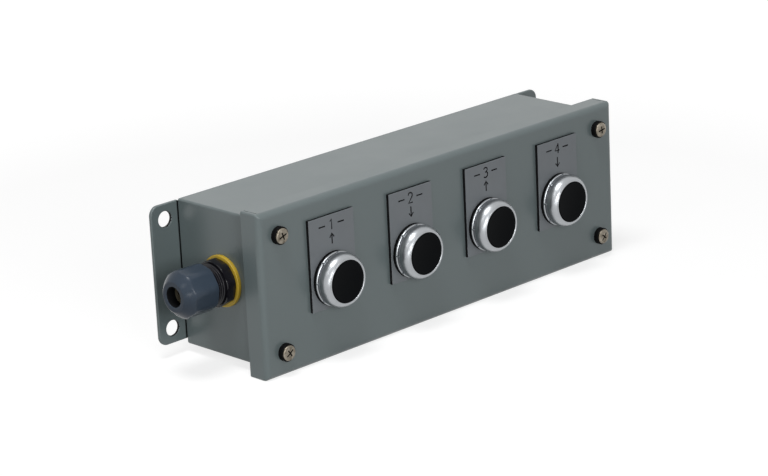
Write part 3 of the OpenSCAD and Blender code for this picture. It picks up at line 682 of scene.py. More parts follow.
class GeometryTree:
    """A geometry node tree with named inputs that ends in one plain mesh."""

    def __init__(self, name: str, inputs: Sequence[Input]) -> None:
        """Starts the tree.

        Args:
            name: Name of the node group.
            inputs: Its named inputs.
        """
        self.tree = bpy.data.node_groups.new(name, "GeometryNodeTree")
        self.tree.interface.new_socket("Geometry", in_out="INPUT", socket_type="NodeSocketGeometry")
        self.ids: dict[str, str] = {}
        for item in inputs:
            kind = "NodeSocketInt" if item.whole else "NodeSocketFloat"
            socket = self.tree.interface.new_socket(item.name, in_out="INPUT", socket_type=kind)
            socket.default_value = item.value
            self.ids[item.name] = socket.identifier
        self.tree.interface.new_socket("Geometry", in_out="OUTPUT", socket_type="NodeSocketGeometry")
        self.source = self.tree.nodes.new("NodeGroupInput")

    def add(self, kind: str, links: dict[str | int, object] | None = None,
            **settings: object) -> bpy.types.Node:
        """Adds a node to this tree."""
        return add_node(self.tree, kind, links, **settings)

    def value(self, name: str) -> Socket:
        """Returns the output socket of a named input."""
        return self.source.outputs[name]

    def maths(self, operation: str, a: Socket | float, b: Socket | float) -> Socket:
        """Returns the result of one calculation."""
        return self.add("ShaderNodeMath", {0: a, 1: b}, operation=operation).outputs[0]

    def close(self, geometry: Socket, finish: Finish) -> None:
        """Ends the tree in Realize Instances and Set Material.

        Args:
            geometry: The geometry to end with.
            finish: Its material.
        """
        real = self.add("GeometryNodeRealizeInstances", {"Geometry": geometry})
        dressed = self.add("GeometryNodeSetMaterial", {
            "Geometry": real.outputs[0], "Material": finish.material()})
        self.add("NodeGroupOutput", {"Geometry": dressed.outputs[0]})

    def run(self, name: str, place: Placing, values: dict[str, float | int]) -> bpy.types.Object:
        """Runs the tree for one set of sizes and returns a plain mesh in its place.

        Args:
            name: Name of the piece.
            place: Turns the tree's local metres, given in millimetres, into a point of the frame.
            values: Values of the named inputs.
        Returns:
            The object with a plain mesh.
        """
        piece = new_piece(name, [], [])
        modifier = piece.modifiers.new("nodes", "NODES")
        modifier.node_group = self.tree
        for key, value in values.items():
            modifier[self.ids[key]] = value
        for vertex in apply_modifiers(piece).vertices:
            vertex.co = place(*(vertex.co / MM))
        return settle(piece, FINE_ANGLE)


class RibTree(GeometryTree):
    """Radial ribs spaced evenly on a circle, as on a bezel flange."""

    def __init__(self, name: str, finish: Finish) -> None:
        """Builds the tree for ribs of one finish.

        Args:
            name: Name of the node group.
            finish: Finish of the ribs.
        """
        super().__init__(name, [Input("Count", 8, True), Input("Radius", 0.0137), Input("Length", 0.0024),
                                Input("Width", 0.0008), Input("Height", 0.002), Input("Turn", 0.26),
                                Input("Level", 0.0015)])
        rib_size = self.add("ShaderNodeCombineXYZ", {
            0: self.value("Length"), 1: self.value("Width"), 2: self.value("Height")})
        rib = self.add("GeometryNodeMeshCube", {"Size": rib_size.outputs[0]})
        shift = self.add("ShaderNodeCombineXYZ", {0: self.value("Radius"), 2: self.value("Level")})
        moved = self.add("GeometryNodeTransform", {
            "Geometry": rib.outputs[0], "Translation": shift.outputs[0]})
        points = self.add("GeometryNodePoints", {"Count": self.value("Count")})
        index = self.add("GeometryNodeInputIndex")
        step = self.maths("DIVIDE", 2 * math.pi, self.value("Count"))
        angle = self.maths("ADD", self.maths("MULTIPLY", index.outputs[0], step), self.value("Turn"))
        turn = self.add("ShaderNodeCombineXYZ", {2: angle})
        copies = self.add("GeometryNodeInstanceOnPoints", {
            "Points": points.outputs[0], "Instance": moved.outputs[0], "Rotation": turn.outputs[0]})
        self.close(copies.outputs[0], finish)


class ThreadTree(GeometryTree):
    """A helical thread crest swept along a spiral and closed at both ends."""

    def __init__(self, name: str, finish: Finish) -> None:
        """Builds the tree for threads of one finish.

        Args:
            name: Name of the node group.
            finish: Finish of the thread.
        """
        super().__init__(name, [Input("Radius", 0.01), Input("Length", 0.006), Input("Pitch", 0.0015),
                                Input("Crest", 0.0004), Input("Level", 0.0), Input("Facets", 48, True)])
        turns = self.maths("DIVIDE", self.value("Length"), self.value("Pitch"))
        spiral = self.add("GeometryNodeCurveSpiral", {
            "Resolution": self.value("Facets"), "Rotations": turns, "Start Radius": self.value("Radius"),
            "End Radius": self.value("Radius"), "Height": self.value("Length")})
        section = self.add("GeometryNodeCurvePrimitiveCircle", {
            "Resolution": 6, "Radius": self.value("Crest")})
        sweep = self.add("GeometryNodeCurveToMesh", {
            "Curve": spiral.outputs[0], "Profile Curve": section.outputs[0], "Fill Caps": True})
        lift = self.add("ShaderNodeCombineXYZ", {2: self.value("Level")})
        moved = self.add("GeometryNodeTransform", {
            "Geometry": sweep.outputs[0], "Translation": lift.outputs[0]})
        self.close(moved.outputs[0], finish)


# Where things are


@dataclass(frozen=True)
class Layout:
    """Places that the sub-assemblies share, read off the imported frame, in millimetres."""

    cover_low: Vector = field(default_factory=lambda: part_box("cover")[0] / MM)
    cover_high: Vector = field(default_factory=lambda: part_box("cover")[1] / MM)
    box_low: Vector = field(default_factory=lambda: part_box("enclosure_box")[0] / MM)
    box_high: Vector = field(default_factory=lambda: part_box("enclosure_box")[1] / MM)

    @property
    def face_y(self) -> float:
        """Level of the cover's face."""
        return self.cover_low.y

    @property
    def mid_z(self) -> float:
        """Middle height of the cover and box."""
        return (self.cover_low.z + self.cover_high.z) / 2

    def centre(self, node: str) -> Vector:
        """Middle of a CAD node's box."""
        low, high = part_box(node)
        return (low + high) / (2 * MM)

    def on_face(self, x: float, z: float) -> Placing:
        """Returns the placing of things that stand on the cover face at x, z, level out of it."""
        return lambda u, v, level: ((x + u) * MM, (self.face_y - level) * MM, (z + v) * MM)

    def facing(self, node: str) -> Placing:
        """Returns the placing of things on the cover face, round the middle of a CAD node."""
        at = self.centre(node)
        return self.on_face(at.x, at.z)

    def on_end(self, y: float, z: float) -> Placing:
        """Returns the placing of things on the left end wall, with their level out of the wall."""
        return lambda u, v, level: ((self.box_low.x - level) * MM, (y + u) * MM, (z + v) * MM)


def keep(node: str, finish: Finish) -> None:
    """Gives a CAD node that stays a better material in its object's own slots.

    Args:
        node: Name of the CAD node.
        finish: Its material.
    """
    held = frame["nodes"][node]
    for item in held.material_slots:
        item.link = "OBJECT"
        item.material = finish.material()
    LOG.info("%s keeps its CAD shape in %s", node, finish.name)


def seat(piece: bpy.types.Object, body: str, slot: str, *nodes: str) -> bpy.types.Object:
    """Lets a finished piece ride on its body in place of CAD nodes.

    Args:
        piece: The finished object.
        body: Body that carries it.
        slot: The record's material slot; not used.
        *nodes: CAD nodes that it stands for.
    Returns:
        The piece.
    """
    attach(piece, body)
    if nodes:
        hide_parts(*nodes)
    LOG.info("%s rides on %s, %d faces", piece.name, body, len(piece.data.polygons))
    return piece


# Sub-assemblies


@dataclass
class Enclosure:
    """The folded box with its feet, corner tabs and ground stud."""

    layout: Layout
    sheet: float = 1.9
    bend: float = 1.0
    corner: float = 1.1
    edge: float = 0.4
    gland_hole: float = 10.15
    foot_corner: float = 4.8
    foot_lap_cut: float = 14.5
    foot_hole: float = 3.95
    hole_margin: float = 7.7
    hole_from_edge: float = 8.6
    foot_edge: float = 0.6

    def build_box(self) -> bpy.types.Object:
        """Builds the box with ground corners and the gland's hole.

        Returns:
            The painted box.
        """
        low, high = self.layout.box_low, self.layout.box_high
        mid = (low.z + high.z) / 2
        box = folded_pan("painted_box", high.x - low.x, high.z - low.z, high.y - low.y, self.bend, self.sheet,
                         self.corner, lambda x, z, d: (x * MM, (high.y - d) * MM, (mid + z) * MM), ENAMEL)
        gland = self.layout.centre("gland_seal_ring")
        hole = round_bar("hole", self.gland_hole, -2 * self.sheet, self.sheet,
                         self.layout.on_end(gland.y, gland.z))
        cut(box, [hole])
        ease_edges(box, self.edge)
        return box

    def build_foot(self, node: str) -> bpy.types.Object:
        """Builds one foot plate with rolled outer corners and its two holes.

        Args:
            node: CAD node of the foot.
        Returns:
            The painted foot.
        """
        low, high = (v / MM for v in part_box(node))
        side = 1 if high.x > 0 else -1
        inner = min(abs(low.x), abs(high.x))
        outer = max(abs(low.x), abs(high.x))
        half = (high.z - low.z) / 2
        mid = (high.z + low.z) / 2
        lap_cut = self.foot_lap_cut
        outline = [(inner + lap_cut, half), (inner, half - lap_cut), (inner, lap_cut - half),
                   (inner + lap_cut, -half)]
        outline += arc((outer - self.foot_corner, self.foot_corner - half), self.foot_corner, -90, 0, 10)
        outline += arc((outer - self.foot_corner, half - self.foot_corner), self.foot_corner, 0, 90, 10)

        def place(x: float, z: float, y: float) -> Point:
            """Puts a point of the right foot on this foot's side, in metres."""
            return side * x * MM, y * MM, (mid + z) * MM

        # The feet's finish paints the crevice's shade onto their front faces.
        foot = slab("painted_" + node, outline, low.y, high.y, place, ENAMEL_FOOT_CREVICE_SHADE)
        # The cutters carry the painted shade onto the walls of the holes.
        cutters = [round_bar("hole", self.foot_hole, low.y - 1, high.y + 1,
                             lambda u, v, y, s=s: place(outer - self.hole_from_edge + u,
                                                      s * (half - self.hole_margin) + v, y),
                             64, HOLE_SHADE)
                   for s in (-1, 1)]
        cut(foot, cutters)
        ease_edges(foot, self.foot_edge, 3)
        return foot

    def dress(self) -> None:
        """Builds and places everything on the housing body."""
        seat(self.build_box(), "housing", "painted_box", "enclosure_box")
        for node in ("mounting_foot_left", "mounting_foot_right"):
            seat(self.build_foot(node), "housing", "painted_box", node)
        keep("corner_tabs", ZINC_STEEL)
        keep("ground_stud", BRASS)


@dataclass
class Cover:
    """The front cover: a folded pan with open corner seams, punched holes and its gasket."""

    layout: Layout
    sheet: float = 1.9
    bend: float = 3.0
    corner: float = 0.9
    seam: float = 0.4
    seam_sheets: float = 1.4
    edge: float = 0.3
    button_hole: float = 10.63
    screw_hole: float = 2.55

    def build(self) -> bpy.types.Object:
        """Builds the pan with its punched holes and open corner seams.

        Returns:
            The painted pan.
        """
        low, high = self.layout.cover_low, self.layout.cover_high
        mid = self.layout.mid_z
        pan = folded_pan("painted_cover", high.x - low.x, high.z - low.z, high.y - low.y, self.bend,
                         self.sheet, self.corner,
                         lambda x, z, d: (x * MM, (low.y + d) * MM, (mid + z) * MM), ENAMEL)
        cutters = []
        for i in range(1, 5):
            for node, radius in ((f"bezel_ring_{i}", self.button_hole),
                                 (f"cover_screw_{i}", self.screw_hole)):
                cutters.append(round_bar("hole", radius, -2 * self.sheet, self.sheet,
                                         self.layout.facing(node), 64))
        for sx in (-1, 1):
            for sz in (-1, 1):
                x0 = high.x - self.sheet - self.seam
                x1 = high.x - self.sheet
                z0 = high.z - mid - self.seam_sheets * self.sheet
                z1 = high.z - mid + 1
                outline = [(sx * x0, sz * z0), (sx * x1, sz * z0), (sx * x1, sz * z1), (sx * x0, sz * z1)]
                cutters.append(slab("seam", outline, -(high.y - low.y) - 1, -self.bend,
                                    self.layout.on_face(0, mid)))
        cut(pan, cutters)
        ease_edges(pan, self.edge)
        return pan

    def dress(self) -> None:
        """Builds the pan and gives the rubber parts their finish."""
        seat(self.build(), "front_cover", "painted_cover", "cover")
        keep("cover_gasket", NEOPRENE)
        keep("panel_gaskets", RUBBER)


@dataclass
class CoverScrews:
    """Four cheese-head screws with a short cross recess, on rubber washers that cup their heads."""

    layout: Layout
    head_r: float = 3.8
    head_h: float = 2.0
    crown: float = 0.25
    edge_r: float = 0.5
    washer_t: float = 1.8
    washer_r: float = 4.4
    washer_bore_r: float = 2.55
    shank_r: float = 2.4
    cup_h: float = 0.9
    cup_gap: float = 0.04
    slot_w: float = 0.75
    slot_l: float = 4.8
    slot_depth: float = 1.1
    cross_l: float = 4.0
    pitch: float = 0.8
    thread_depth: float = 0.35
    crest: float = 0.34
    thread_start: float = 1.0
    thread_short: float = 2.2
    point: float = 0.8
    ease: float = 0.12
    turns: tuple[float, ...] = (20, 35, 10, 50)

    def build(self, number: int, threads: ThreadTree) -> bpy.types.Object:
        """Builds one screw with its recess and thread.

        Args:
            number: Number of the screw, from 1.
            threads: Tree that makes its thread.
        Returns:
            The screw.
        """
        tip = (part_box(f"cover_screw_{number}")[1].y / MM) - self.layout.face_y
        place = self.layout.facing(f"cover_screw_{number}")
        base, top = self.washer_t, self.washer_t + self.head_h
        profile: Profile = [(0.0, top)]
        crown_steps = 5
        for k in range(1, crown_steps + 1):
            r = (self.head_r - self.edge_r) * k / crown_steps
            profile.append((r, top - self.crown * (r / self.head_r) ** 2))
        profile += arc((self.head_r - self.edge_r, top - self.crown - self.edge_r), self.edge_r, 80, 0, 5)
        core = self.shank_r - self.thread_depth
        profile += [(self.head_r, base), (core, base), (core, self.point - tip), (core - self.point, -tip),
                    (0.0, -tip)]
        screw = turned(f"screw_{number}_body", profile, place, 64, SCREW_NICKEL, sharp=EDGE_ANGLE)
        turn = math.radians(self.turns[number - 1])

        def arm(half_l: float, half_w: float, lean: float) -> bpy.types.Object:
            """Makes the cutter of one arm of the cross.

            Args:
                half_l: Half of its length.
                half_w: Half of its width.
                lean: Turn against the slot, in radians.
            Returns:
                The cutter.
            """
            c, s = math.cos(turn + lean), math.sin(turn + lean)
            outline = [(u * c - v * s, u * s + v * c) for u, v in
                       ((-half_l, -half_w), (half_l, -half_w), (half_l, half_w), (-half_l, half_w))]
            # The cutter's finish paints shade into the recess.
            return slab("arm", outline, top - self.slot_depth, top + 1, place, RECESS_SHADE)

        cut(screw, [arm(self.slot_l / 2, self.slot_w / 2, 0.0),
                    arm(self.cross_l / 2, self.slot_w / 2, math.pi / 2)])
        ease_edges(screw, self.ease, 2)
        thread = threads.run("thread", place, {
            "Radius": core * MM, "Length": (tip - self.thread_short) * MM, "Pitch": self.pitch * MM,
            "Crest": self.crest * MM, "Level": (self.thread_start - tip) * MM, "Facets": 24})
        return joined(f"cover_screw_{number}_detailed", [screw, thread])

    def build_washers(self) -> bpy.types.Object:
        """Builds the four washers, squeezed so that their rubber cups the heads.

        Returns:
            The four as one piece.
        """
        parts = []
        for number in range(1, 5):
            r, t = self.washer_r, self.washer_t
            inside, top = self.head_r + self.cup_gap, t + self.cup_h
            soft = (r - inside) / 2
            profile = [(self.washer_bore_r, 0.0), (self.washer_bore_r, t), (inside, t)]
            profile += arc((inside + soft, top - soft), soft, 180, 0, 8)
            profile += arc((r - soft, soft), soft, 0, -90, 4)
            parts.append(turned(f"washer_{number}", profile, self.layout.facing(f"cover_screw_{number}"), 56,
                                RUBBER, sharp=EDGE_ANGLE))
        return joined("rubber_screw_washers", parts)

    def dress(self) -> None:
        """Builds the screws and their washers."""
        threads = ThreadTree("screw_thread", SCREW_NICKEL)
        for number in range(1, 5):
            seat(self.build(number, threads), f"screw_{number}", "bare_steel", f"cover_screw_{number}")
        seat(self.build_washers(), "front_cover", "neoprene", "screw_washers")


class Mark(Enum):
    """Plain engraved marks, each a set of strokes in a cell one unit high."""

    ONE = (((0.16, 0.78), (0.36, 1.0), (0.36, 0.0)),)
    TWO = (((0.04, 0.76), (0.1, 0.92), (0.26, 1.0), (0.44, 0.98), (0.57, 0.84), (0.56, 0.64), (0.42, 0.44),
            (0.04, 0.0), (0.6, 0.0)),)
    THREE = (((0.05, 0.85), (0.18, 0.98), (0.36, 1.0), (0.53, 0.9), (0.54, 0.7), (0.42, 0.56), (0.24, 0.53)),
             ((0.42, 0.56), (0.57, 0.42), (0.59, 0.2), (0.46, 0.04), (0.25, 0.0), (0.06, 0.1)))
    FOUR = (((0.46, 0.0), (0.46, 1.0)), ((0.46, 1.0), (0.02, 0.3), (0.64, 0.3)))
    DASH = (((0.0, 0.5), (0.8, 0.5)),)
    UP = (((0.3, 0.0), (0.3, 1.0)), ((0.02, 0.62), (0.3, 1.0), (0.58, 0.62)))
    DOWN = (((0.3, 1.0), (0.3, 0.0)), ((0.02, 0.38), (0.3, 0.0), (0.58, 0.38)))


@dataclass
class LegendPlate:
    """An engraved two-ply plate: a grey face over a black core, cut through by the strokes."""

    layout: Layout
    number: int
    thickness: float = 1.8
    ply: float = 0.12
    ease: float = 0.12
    hole_r: float = 10.63
    stroke_r: float = 0.38
    text_h: float = 5.2
    first_line: float = 24.3
    second_line: float = 17.2
    gap: float = 2.6

    def _stroke(self, points: Sequence[tuple[float, float]], place: Placing,
                name: str) -> bpy.types.Object:
        """Makes the solid that a round-nosed cutter sweeps along a stroke.

        Args:
            points: Corners of the stroke on the plate, in millimetres.
            place: Placing of the plate.
            name: Name of the cutter.
        Returns:
            The cutter.
        """
        curve = bpy.data.curves.new(name, "CURVE")
        curve.dimensions = "3D"
        curve.bevel_depth = self.stroke_r * MM
        curve.bevel_resolution = 3
        curve.use_fill_caps = True
        line = curve.splines.new("POLY")
        line.points.add(len(points) - 1)
        for point, (u, v) in zip(line.points, points):
            point.co = (*place(u, v, self.thickness), 1)
        holder = linked(name, curve)
        mesh = evaluated_mesh(holder)
        bpy.data.objects.remove(holder)
        mesh.materials.clear()
        mesh.materials.append(LAMINATE_CORE.material())
        for polygon in mesh.polygons:
            polygon.material_index = 0
        return settle(linked(name, mesh))

    def marks(self) -> list[tuple[Mark, float, float]]:
        """Places the marks by their lower left corners on the plate.

        Returns:
            Each mark with its place in millimetres.
        """
        digit = (Mark.ONE, Mark.TWO, Mark.THREE, Mark.FOUR)[self.number - 1]
        arrow = Mark.UP if self.number % 2 else Mark.DOWN
        h = self.text_h
        left, right = -0.3 * h - self.gap - 0.8 * h, 0.3 * h + self.gap
        return [(Mark.DASH, left, self.first_line), (digit, -0.32 * h, self.first_line),
                (Mark.DASH, right, self.first_line), (arrow, -0.3 * h, self.second_line)]

    def build(self) -> bpy.types.Object:
        """Builds the plate with its core, face ply, chamfered edge and engraving.

        Returns:
            The engraved plate.
        """
        low, high = (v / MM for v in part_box(f"legend_plate_{self.number}"))
        centre = self.layout.centre(f"bezel_ring_{self.number}")
        place = self.layout.on_face(centre.x, centre.z)
        outline = [(low.x - centre.x, low.z - centre.z), (high.x - centre.x, low.z - centre.z),
                   (high.x - centre.x, high.z - centre.z), (low.x - centre.x, high.z - centre.z)]
        plate = slab(f"legend_plate_{self.number}_engraved", outline, 0, self.thickness, place,
                     LAMINATE_CORE, LAMINATE_FACE)
        work = bmesh.new()
        work.from_mesh(plate.data)
        bmesh.ops.bisect_plane(work, geom=work.verts[:] + work.edges[:] + work.faces[:], dist=1e-7,
                               plane_co=place(0, 0, self.thickness - self.ply), plane_no=(0, 1, 0))
        top = (self.layout.face_y - self.thickness + self.ply) * MM + 1e-6
        for face in work.faces:
            face.material_index = 1 if all(v.co.y < top for v in face.verts) else 0
        work.to_mesh(plate.data)
        work.free()
        cut(plate, [round_bar("hole", self.hole_r, -1, self.thickness + 1, place)])
        ease_edges(plate, self.ease, 1)
        for mark, u0, v0 in self.marks():
            for stroke in mark.value:
                points = [(u0 + u * self.text_h, v0 + v * self.text_h) for u, v in stroke]
                cut(plate, [self._stroke(points, place, "stroke")])
        return plate

    def dress(self) -> None:
        """Builds the plate in place of its CAD node."""
        seat(self.build(), "front_cover", "legend_laminate", f"legend_plate_{self.number}")


@dataclass
class Pushbutton:
    """One operator: bezel ring with spanner ribs, cap, and the parts behind the cover."""

    layout: Layout
    number: int
    ring_level: float = 3.1
    ring_h: float = 8.4
    flange_r: float = 13.6
    flange_t: float = 1.2
    flange_lip: float = 0.65
    channel: float = 0.35
    foot_r: float = 12.7
    front_r: float = 11.35
    bore_r: float = 10.58
    bulge: float = 1.4
    rib_count: int = 8
    rib_turn: float = 42.0
    rib_r: float = 12.9
    rib_l: float = 1.3
    rib_w: float = 0.7
    rib_h: float = 1.9
    cap_r: float = 10.5
    cap_t: float = 2.4
    cap_dish: float = 0.5
    cap_edge: float = 0.45
    stem_r: float = 5.9
    stem_chamfer: float = 0.4
    clip_groove: float = 0.9
    travel: float = 4.0

    def ring_profile(self) -> Profile:
        """Draws the ring's section: bore, rolled rim, bulge, channel and thin flange.

        Returns:
            The closed section as (radius, level) pairs.
        """
        rim_r = (self.front_r - self.bore_r) / 2
        chord = math.hypot(self.foot_r - self.front_r, self.ring_h - self.flange_t)
        radius = (chord * chord / 4 + self.bulge ** 2) / (2 * self.bulge)
        lean = math.atan2(self.foot_r - self.front_r, self.ring_h - self.flange_t)
        back = radius - self.bulge
        cx = (self.foot_r + self.front_r) / 2 - back * math.cos(lean)
        cz = self.flange_t + (self.ring_h - self.flange_t) / 2 - back * math.sin(lean)
        half = math.asin(chord / 2 / radius)
        start, end = math.degrees(lean + half), math.degrees(lean - half)
        points: Profile = [(self.bore_r, 0.0), (self.bore_r, self.ring_h - rim_r)]
        points += arc((self.bore_r + rim_r, self.ring_h - rim_r), rim_r, 165, 20, 7)
        points += arc((cx, cz), radius, start - 3.5, end + 2, 20)
        edge = self.flange_t / 2
        points += [(self.foot_r + 0.1, self.flange_t - self.channel),
                   (self.flange_r - self.flange_lip, self.flange_t - self.channel),
                   (self.flange_r - 0.55, self.flange_t - 0.05)]
        points += arc((self.flange_r - edge, edge), edge, 70, -80, 7)
        points += [(self.flange_r - edge, 0.0)]
        return [(r, self.ring_level + z) for r, z in points]

    def build_ring(self, ribs: RibTree) -> bpy.types.Object:
        """Builds the chromed ring with its ribs.

        Args:
            ribs: Tree that makes the ribs.
        Returns:
            The ring.
        """
        place = self.layout.facing(f"bezel_ring_{self.number}")
        ring = turned(f"ring_{self.number}", self.ring_profile(), place, 128, CHROME)
        rib = ribs.run(f"ribs_{self.number}", place, {
            "Count": self.rib_count, "Radius": self.rib_r * MM, "Length": self.rib_l * MM,
            "Width": self.rib_w * MM, "Height": self.rib_h * MM, "Turn": math.radians(self.rib_turn),
            "Level": (self.ring_level + self.flange_t) * MM})
        return joined(f"bezel_ring_{self.number}_chromed", [ring, rib])

    def build_cap(self) -> bpy.types.Object:
        """Builds the dished cap with its stem and clip groove.

        Returns:
            The cap.
        """
        node = f"button_cap_{self.number}"
        low, high = (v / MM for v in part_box(node))
        top = self.layout.face_y - low.y
        end = self.layout.face_y - high.y
        clip_low, clip_high = (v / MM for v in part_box(f"stem_clip_{self.number}"))
        groove_top = self.layout.face_y - clip_low.y
        groove_low = self.layout.face_y - clip_high.y
        groove_r = self.stem_r - self.clip_groove
        edge = self.cap_edge
        under = top - self.cap_t
        profile: Profile = []
        for k in range(13):
            r = (self.cap_r - edge) * k / 12
            profile.append((r, top - self.cap_dish * (1 - (r / (self.cap_r - edge)) ** 2)))
        profile += arc((self.cap_r - edge, top - edge), edge, 75, 0, 5)
        profile += [(self.cap_r, under), (self.stem_r, under), (self.stem_r, groove_top),
                    (groove_r, groove_top), (groove_r, groove_low), (self.stem_r, groove_low),
                    (self.stem_r, end + self.stem_chamfer), (self.stem_r - self.stem_chamfer, end),
                    (0.0, end)]
        return turned(f"{node}_moulded", profile, self.layout.facing(node), 96, CAP_BLACK)

    def build_spring(self) -> bpy.types.Object:
        """Builds the return spring from its solid's wire, with doubled points merged.

        Returns:
            The spring at rest.
        """
        node = f"return_spring_{self.number}"
        mesh = frame["nodes"][node].data.copy()
        mesh.materials.clear()
        mesh.materials.append(SPRING_STEEL.material())
        return settle(linked(f"{node}_wound", mesh), FINE_ANGLE)

    def dress_spring(self) -> None:
        """Places the spring on the front cover's body, with a mesh of its own."""
        node = f"return_spring_{self.number}"
        spring = seat(self.build_spring(), "front_cover", "spring_steel", node)
        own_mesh(spring)

    def dress(self, ribs: RibTree) -> None:
        """Builds the visible parts and finishes the CAD parts behind them.

        Args:
            ribs: Tree that makes the ring's ribs.
        """
        i = self.number
        seat(self.build_ring(ribs), "front_cover", "chrome", f"bezel_ring_{i}")
        seat(self.build_cap(), f"button_{i}", "cap_plastic", f"button_cap_{i}")
        keep(f"operator_body_{i}", CAST_ZINC)
        keep(f"contact_block_{i}", BLOCK_PLASTIC)
        keep(f"stem_clip_{i}", SPRING_STEEL)
        self.dress_spring()
        keep(f"contact_carrier_{i}", CARRIER_IVORY)
        keep(f"contact_bridge_{i}", CONTACT_SILVER)


@dataclass
class CableGland:
    """The cable gland: yellow seal, eight-sided body with a ridged thread, dome nut and insert.

    The photograph shows eight flats, which the solids have as six, so the flats are made here.
    """

    layout: Layout
    seal_t: float = 2.0
    seal_r: float = 12.9
    seal_hole_r: float = 10.15
    seal_round: float = 0.5
    seal_foot_round: float = 0.3
    flats: int = 8
    flats_turn: float = 35.0
    collar_af: float = 22.4
    collar_trim: float = 0.6
    collar_l: float = 5.5
    collar_ease: float = 0.5
    collar_ease_l: float = 0.35
    collar_round: float = 0.3
    neck_r: float = 10.6
    bare_l: float = 5.4
    ridge: float = 1.3
    nut_af: float = 22.8
    nut_sharp: float = 22.0
    nut_round: float = 0.25
    nut_lip: float = 0.5
    neck_gap: float = 0.1
    locknut_round: float = 0.4
    locknut_gap: float = 0.1
    locknut_trim: float = 0.3
    locknut_ease: float = 1.2
    locknut_ease_l: float = 0.6
    nose_r: float = 7.4
    nose_wall: float = 5.4
    cone_l: float = 3.6
    dome_l: float = 4.8
    dome_fullness: float = 1.15
    hole_r: float = 5.1
    insert_r: float = 8.35
    insert_hole_r: float = 4.75
    insert_mouth_r: float = 5.5
    insert_mouth_l: float = 1.2
    insert_edge: float = 0.6
    insert_gap: float = 0.2
    socket_gap: float = 0.08
    bore_r: float = 7.4
    thread_r: float = 10.0
    thread_depth: float = 0.5
    tail_crest: float = 0.48
    tail: float = 8.4
    steps: int = 144

    def place(self) -> Placing:
        """Returns the placing of things on the gland's axis."""
        at = self.layout.centre("gland_seal_ring")
        return self.layout.on_end(at.y, at.z)

    @staticmethod
    def prism_radius(across: float, angle: float, flats: int, turn: float) -> float:
        """Returns the radius of a flat-sided prism at an angle.

        Args:
            across: Width across the flats.
            angle: Angle round the axis, in radians.
            flats: Number of flats.
            turn: Angle of the first corner, in degrees.
        Returns:
            The distance from the axis to the prism's side.
        """
        step = 360 / flats
        lean = (math.degrees(angle) - turn) % step - step / 2
        return across / 2 / math.cos(math.radians(lean))

    @staticmethod
    def soft_min(a: float, b: float, blend: float) -> float:
        """Returns the lesser of two values with a rounded change between them."""
        h = max(blend - abs(a - b), 0.0) / blend
        return min(a, b) - h * h * blend / 4

    def build_nut(self) -> bpy.types.Object:
        """Builds the dome nut: flats that run out into a dome, with the nose hole and cavity.

        Returns:
            The nut, with painted shade in its cable hole.
        """
        start = self.seal_t + self.collar_l + self.bare_l
        end = self.layout.box_low.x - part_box("gland_dome_nut")[0].x / MM
        corner = self.nut_af / 2 / math.cos(math.pi / self.flats)
        skirt = (corner + self.nut_af / 2) / 2
        width = skirt - self.nose_r
        power = 2 / self.dome_fullness
        turns = [math.radians(90 * k / 16) for k in range(1, 17)]
        outer: Profile = [(skirt - 0.4, start), (skirt - 0.1, start + 0.1), (skirt, start + 0.35)]
        outer += [(skirt, start + 0.35 + (end - self.dome_l - start - 0.35) * k / 6) for k in range(1, 7)]
        outer += [(self.nose_r + width * max(math.cos(t), 0.0) ** power,
                   end - self.dome_l + self.dome_l * math.sin(t) ** power) for t in turns]
        lip = self.nut_lip
        inner: Profile = [(self.hole_r + lip + 0.6, end)]
        inner += arc((self.hole_r + lip, end - lip), lip, 90, 180, 4)
        seat_level = end - self.nose_wall
        inner += [(self.hole_r, seat_level), (self.insert_r + self.insert_gap, seat_level),
                  (self.neck_r + self.neck_gap, seat_level - self.cone_l),
                  (self.neck_r + self.neck_gap, start)]

        def shape(radius: float, level: float, angle: float) -> float:
            """Gives the radius of the nut's outside and inside at an angle."""
            side = self.prism_radius(self.nut_af, angle, self.flats, self.flats_turn)
            return self.soft_min(side, radius, self.nut_round)

        nut = turned("gland_nut_moulded", outer + inner, self.place(), self.steps, POLYAMIDE_NUT, NUT_BORE_SHADE,
                     sharp=self.nut_sharp, shape=shape)
        # Faces of the cable hole take the painted shade.
        at = self.layout.centre("gland_seal_ring")
        for face in nut.data.polygons:
            off_axis = math.hypot(face.center.y / MM - at.y, face.center.z / MM - at.z)
            face.material_index = 1 if off_axis < self.hole_r + 0.05 else 0
        return nut

    def build_body(self) -> bpy.types.Object:
        """Builds the body: collar, ridged neck, bore and the plain core of its tail.

        Returns:
            The body without its tail thread.
        """
        collar_end = self.seal_t + self.collar_l
        neck_end = self.layout.box_low.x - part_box("gland_body")[0].x / MM
        insert_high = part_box("gland_insert")[1] / MM
        seat_start = self.layout.box_low.x - insert_high.x
        collar_r = self.collar_af / 2 + self.collar_trim
        core = self.thread_r - self.thread_depth
        outer: Profile = [(core, -self.tail), (core, self.seal_t)]
        ease, ease_l = self.collar_ease, self.collar_ease_l
        outer += [(collar_r - ease, self.seal_t), (collar_r, self.seal_t + ease_l),
                  (collar_r, collar_end - ease_l), (collar_r - ease, collar_end),
                  (self.neck_r - 0.6, collar_end)]
        ridge_steps = ((0.6, 0.15), (0.08, 0.38), (0.0, 0.46), (0.0, 0.64), (0.08, 0.72), (0.6, 0.95))
        for k in range(int(self.bare_l / self.ridge)):
            z = collar_end + 0.2 + k * self.ridge
            outer += [(self.neck_r - depth, z + share * self.ridge) for depth, share in ridge_steps]
        socket_r = self.insert_r + self.socket_gap
        outer += [(self.neck_r - 0.5, neck_end - 1), (self.neck_r - 1.2, neck_end), (socket_r, neck_end),
                  (socket_r, seat_start), (self.bore_r, seat_start), (self.bore_r, -self.tail)]

        def shape(radius: float, level: float, angle: float) -> float:
            """Gives the collar its flats and leaves the rest round.

            Args:
                radius: Radius in the section.
                level: Level out of the wall; not used.
                angle: Angle round the axis, in radians.
            Returns:
                The radius at that angle.
            """
            if radius <= self.neck_r + 0.3:
                return radius
            side = self.prism_radius(self.collar_af, angle, self.flats, self.flats_turn)
            return self.soft_min(side, radius, self.collar_round)

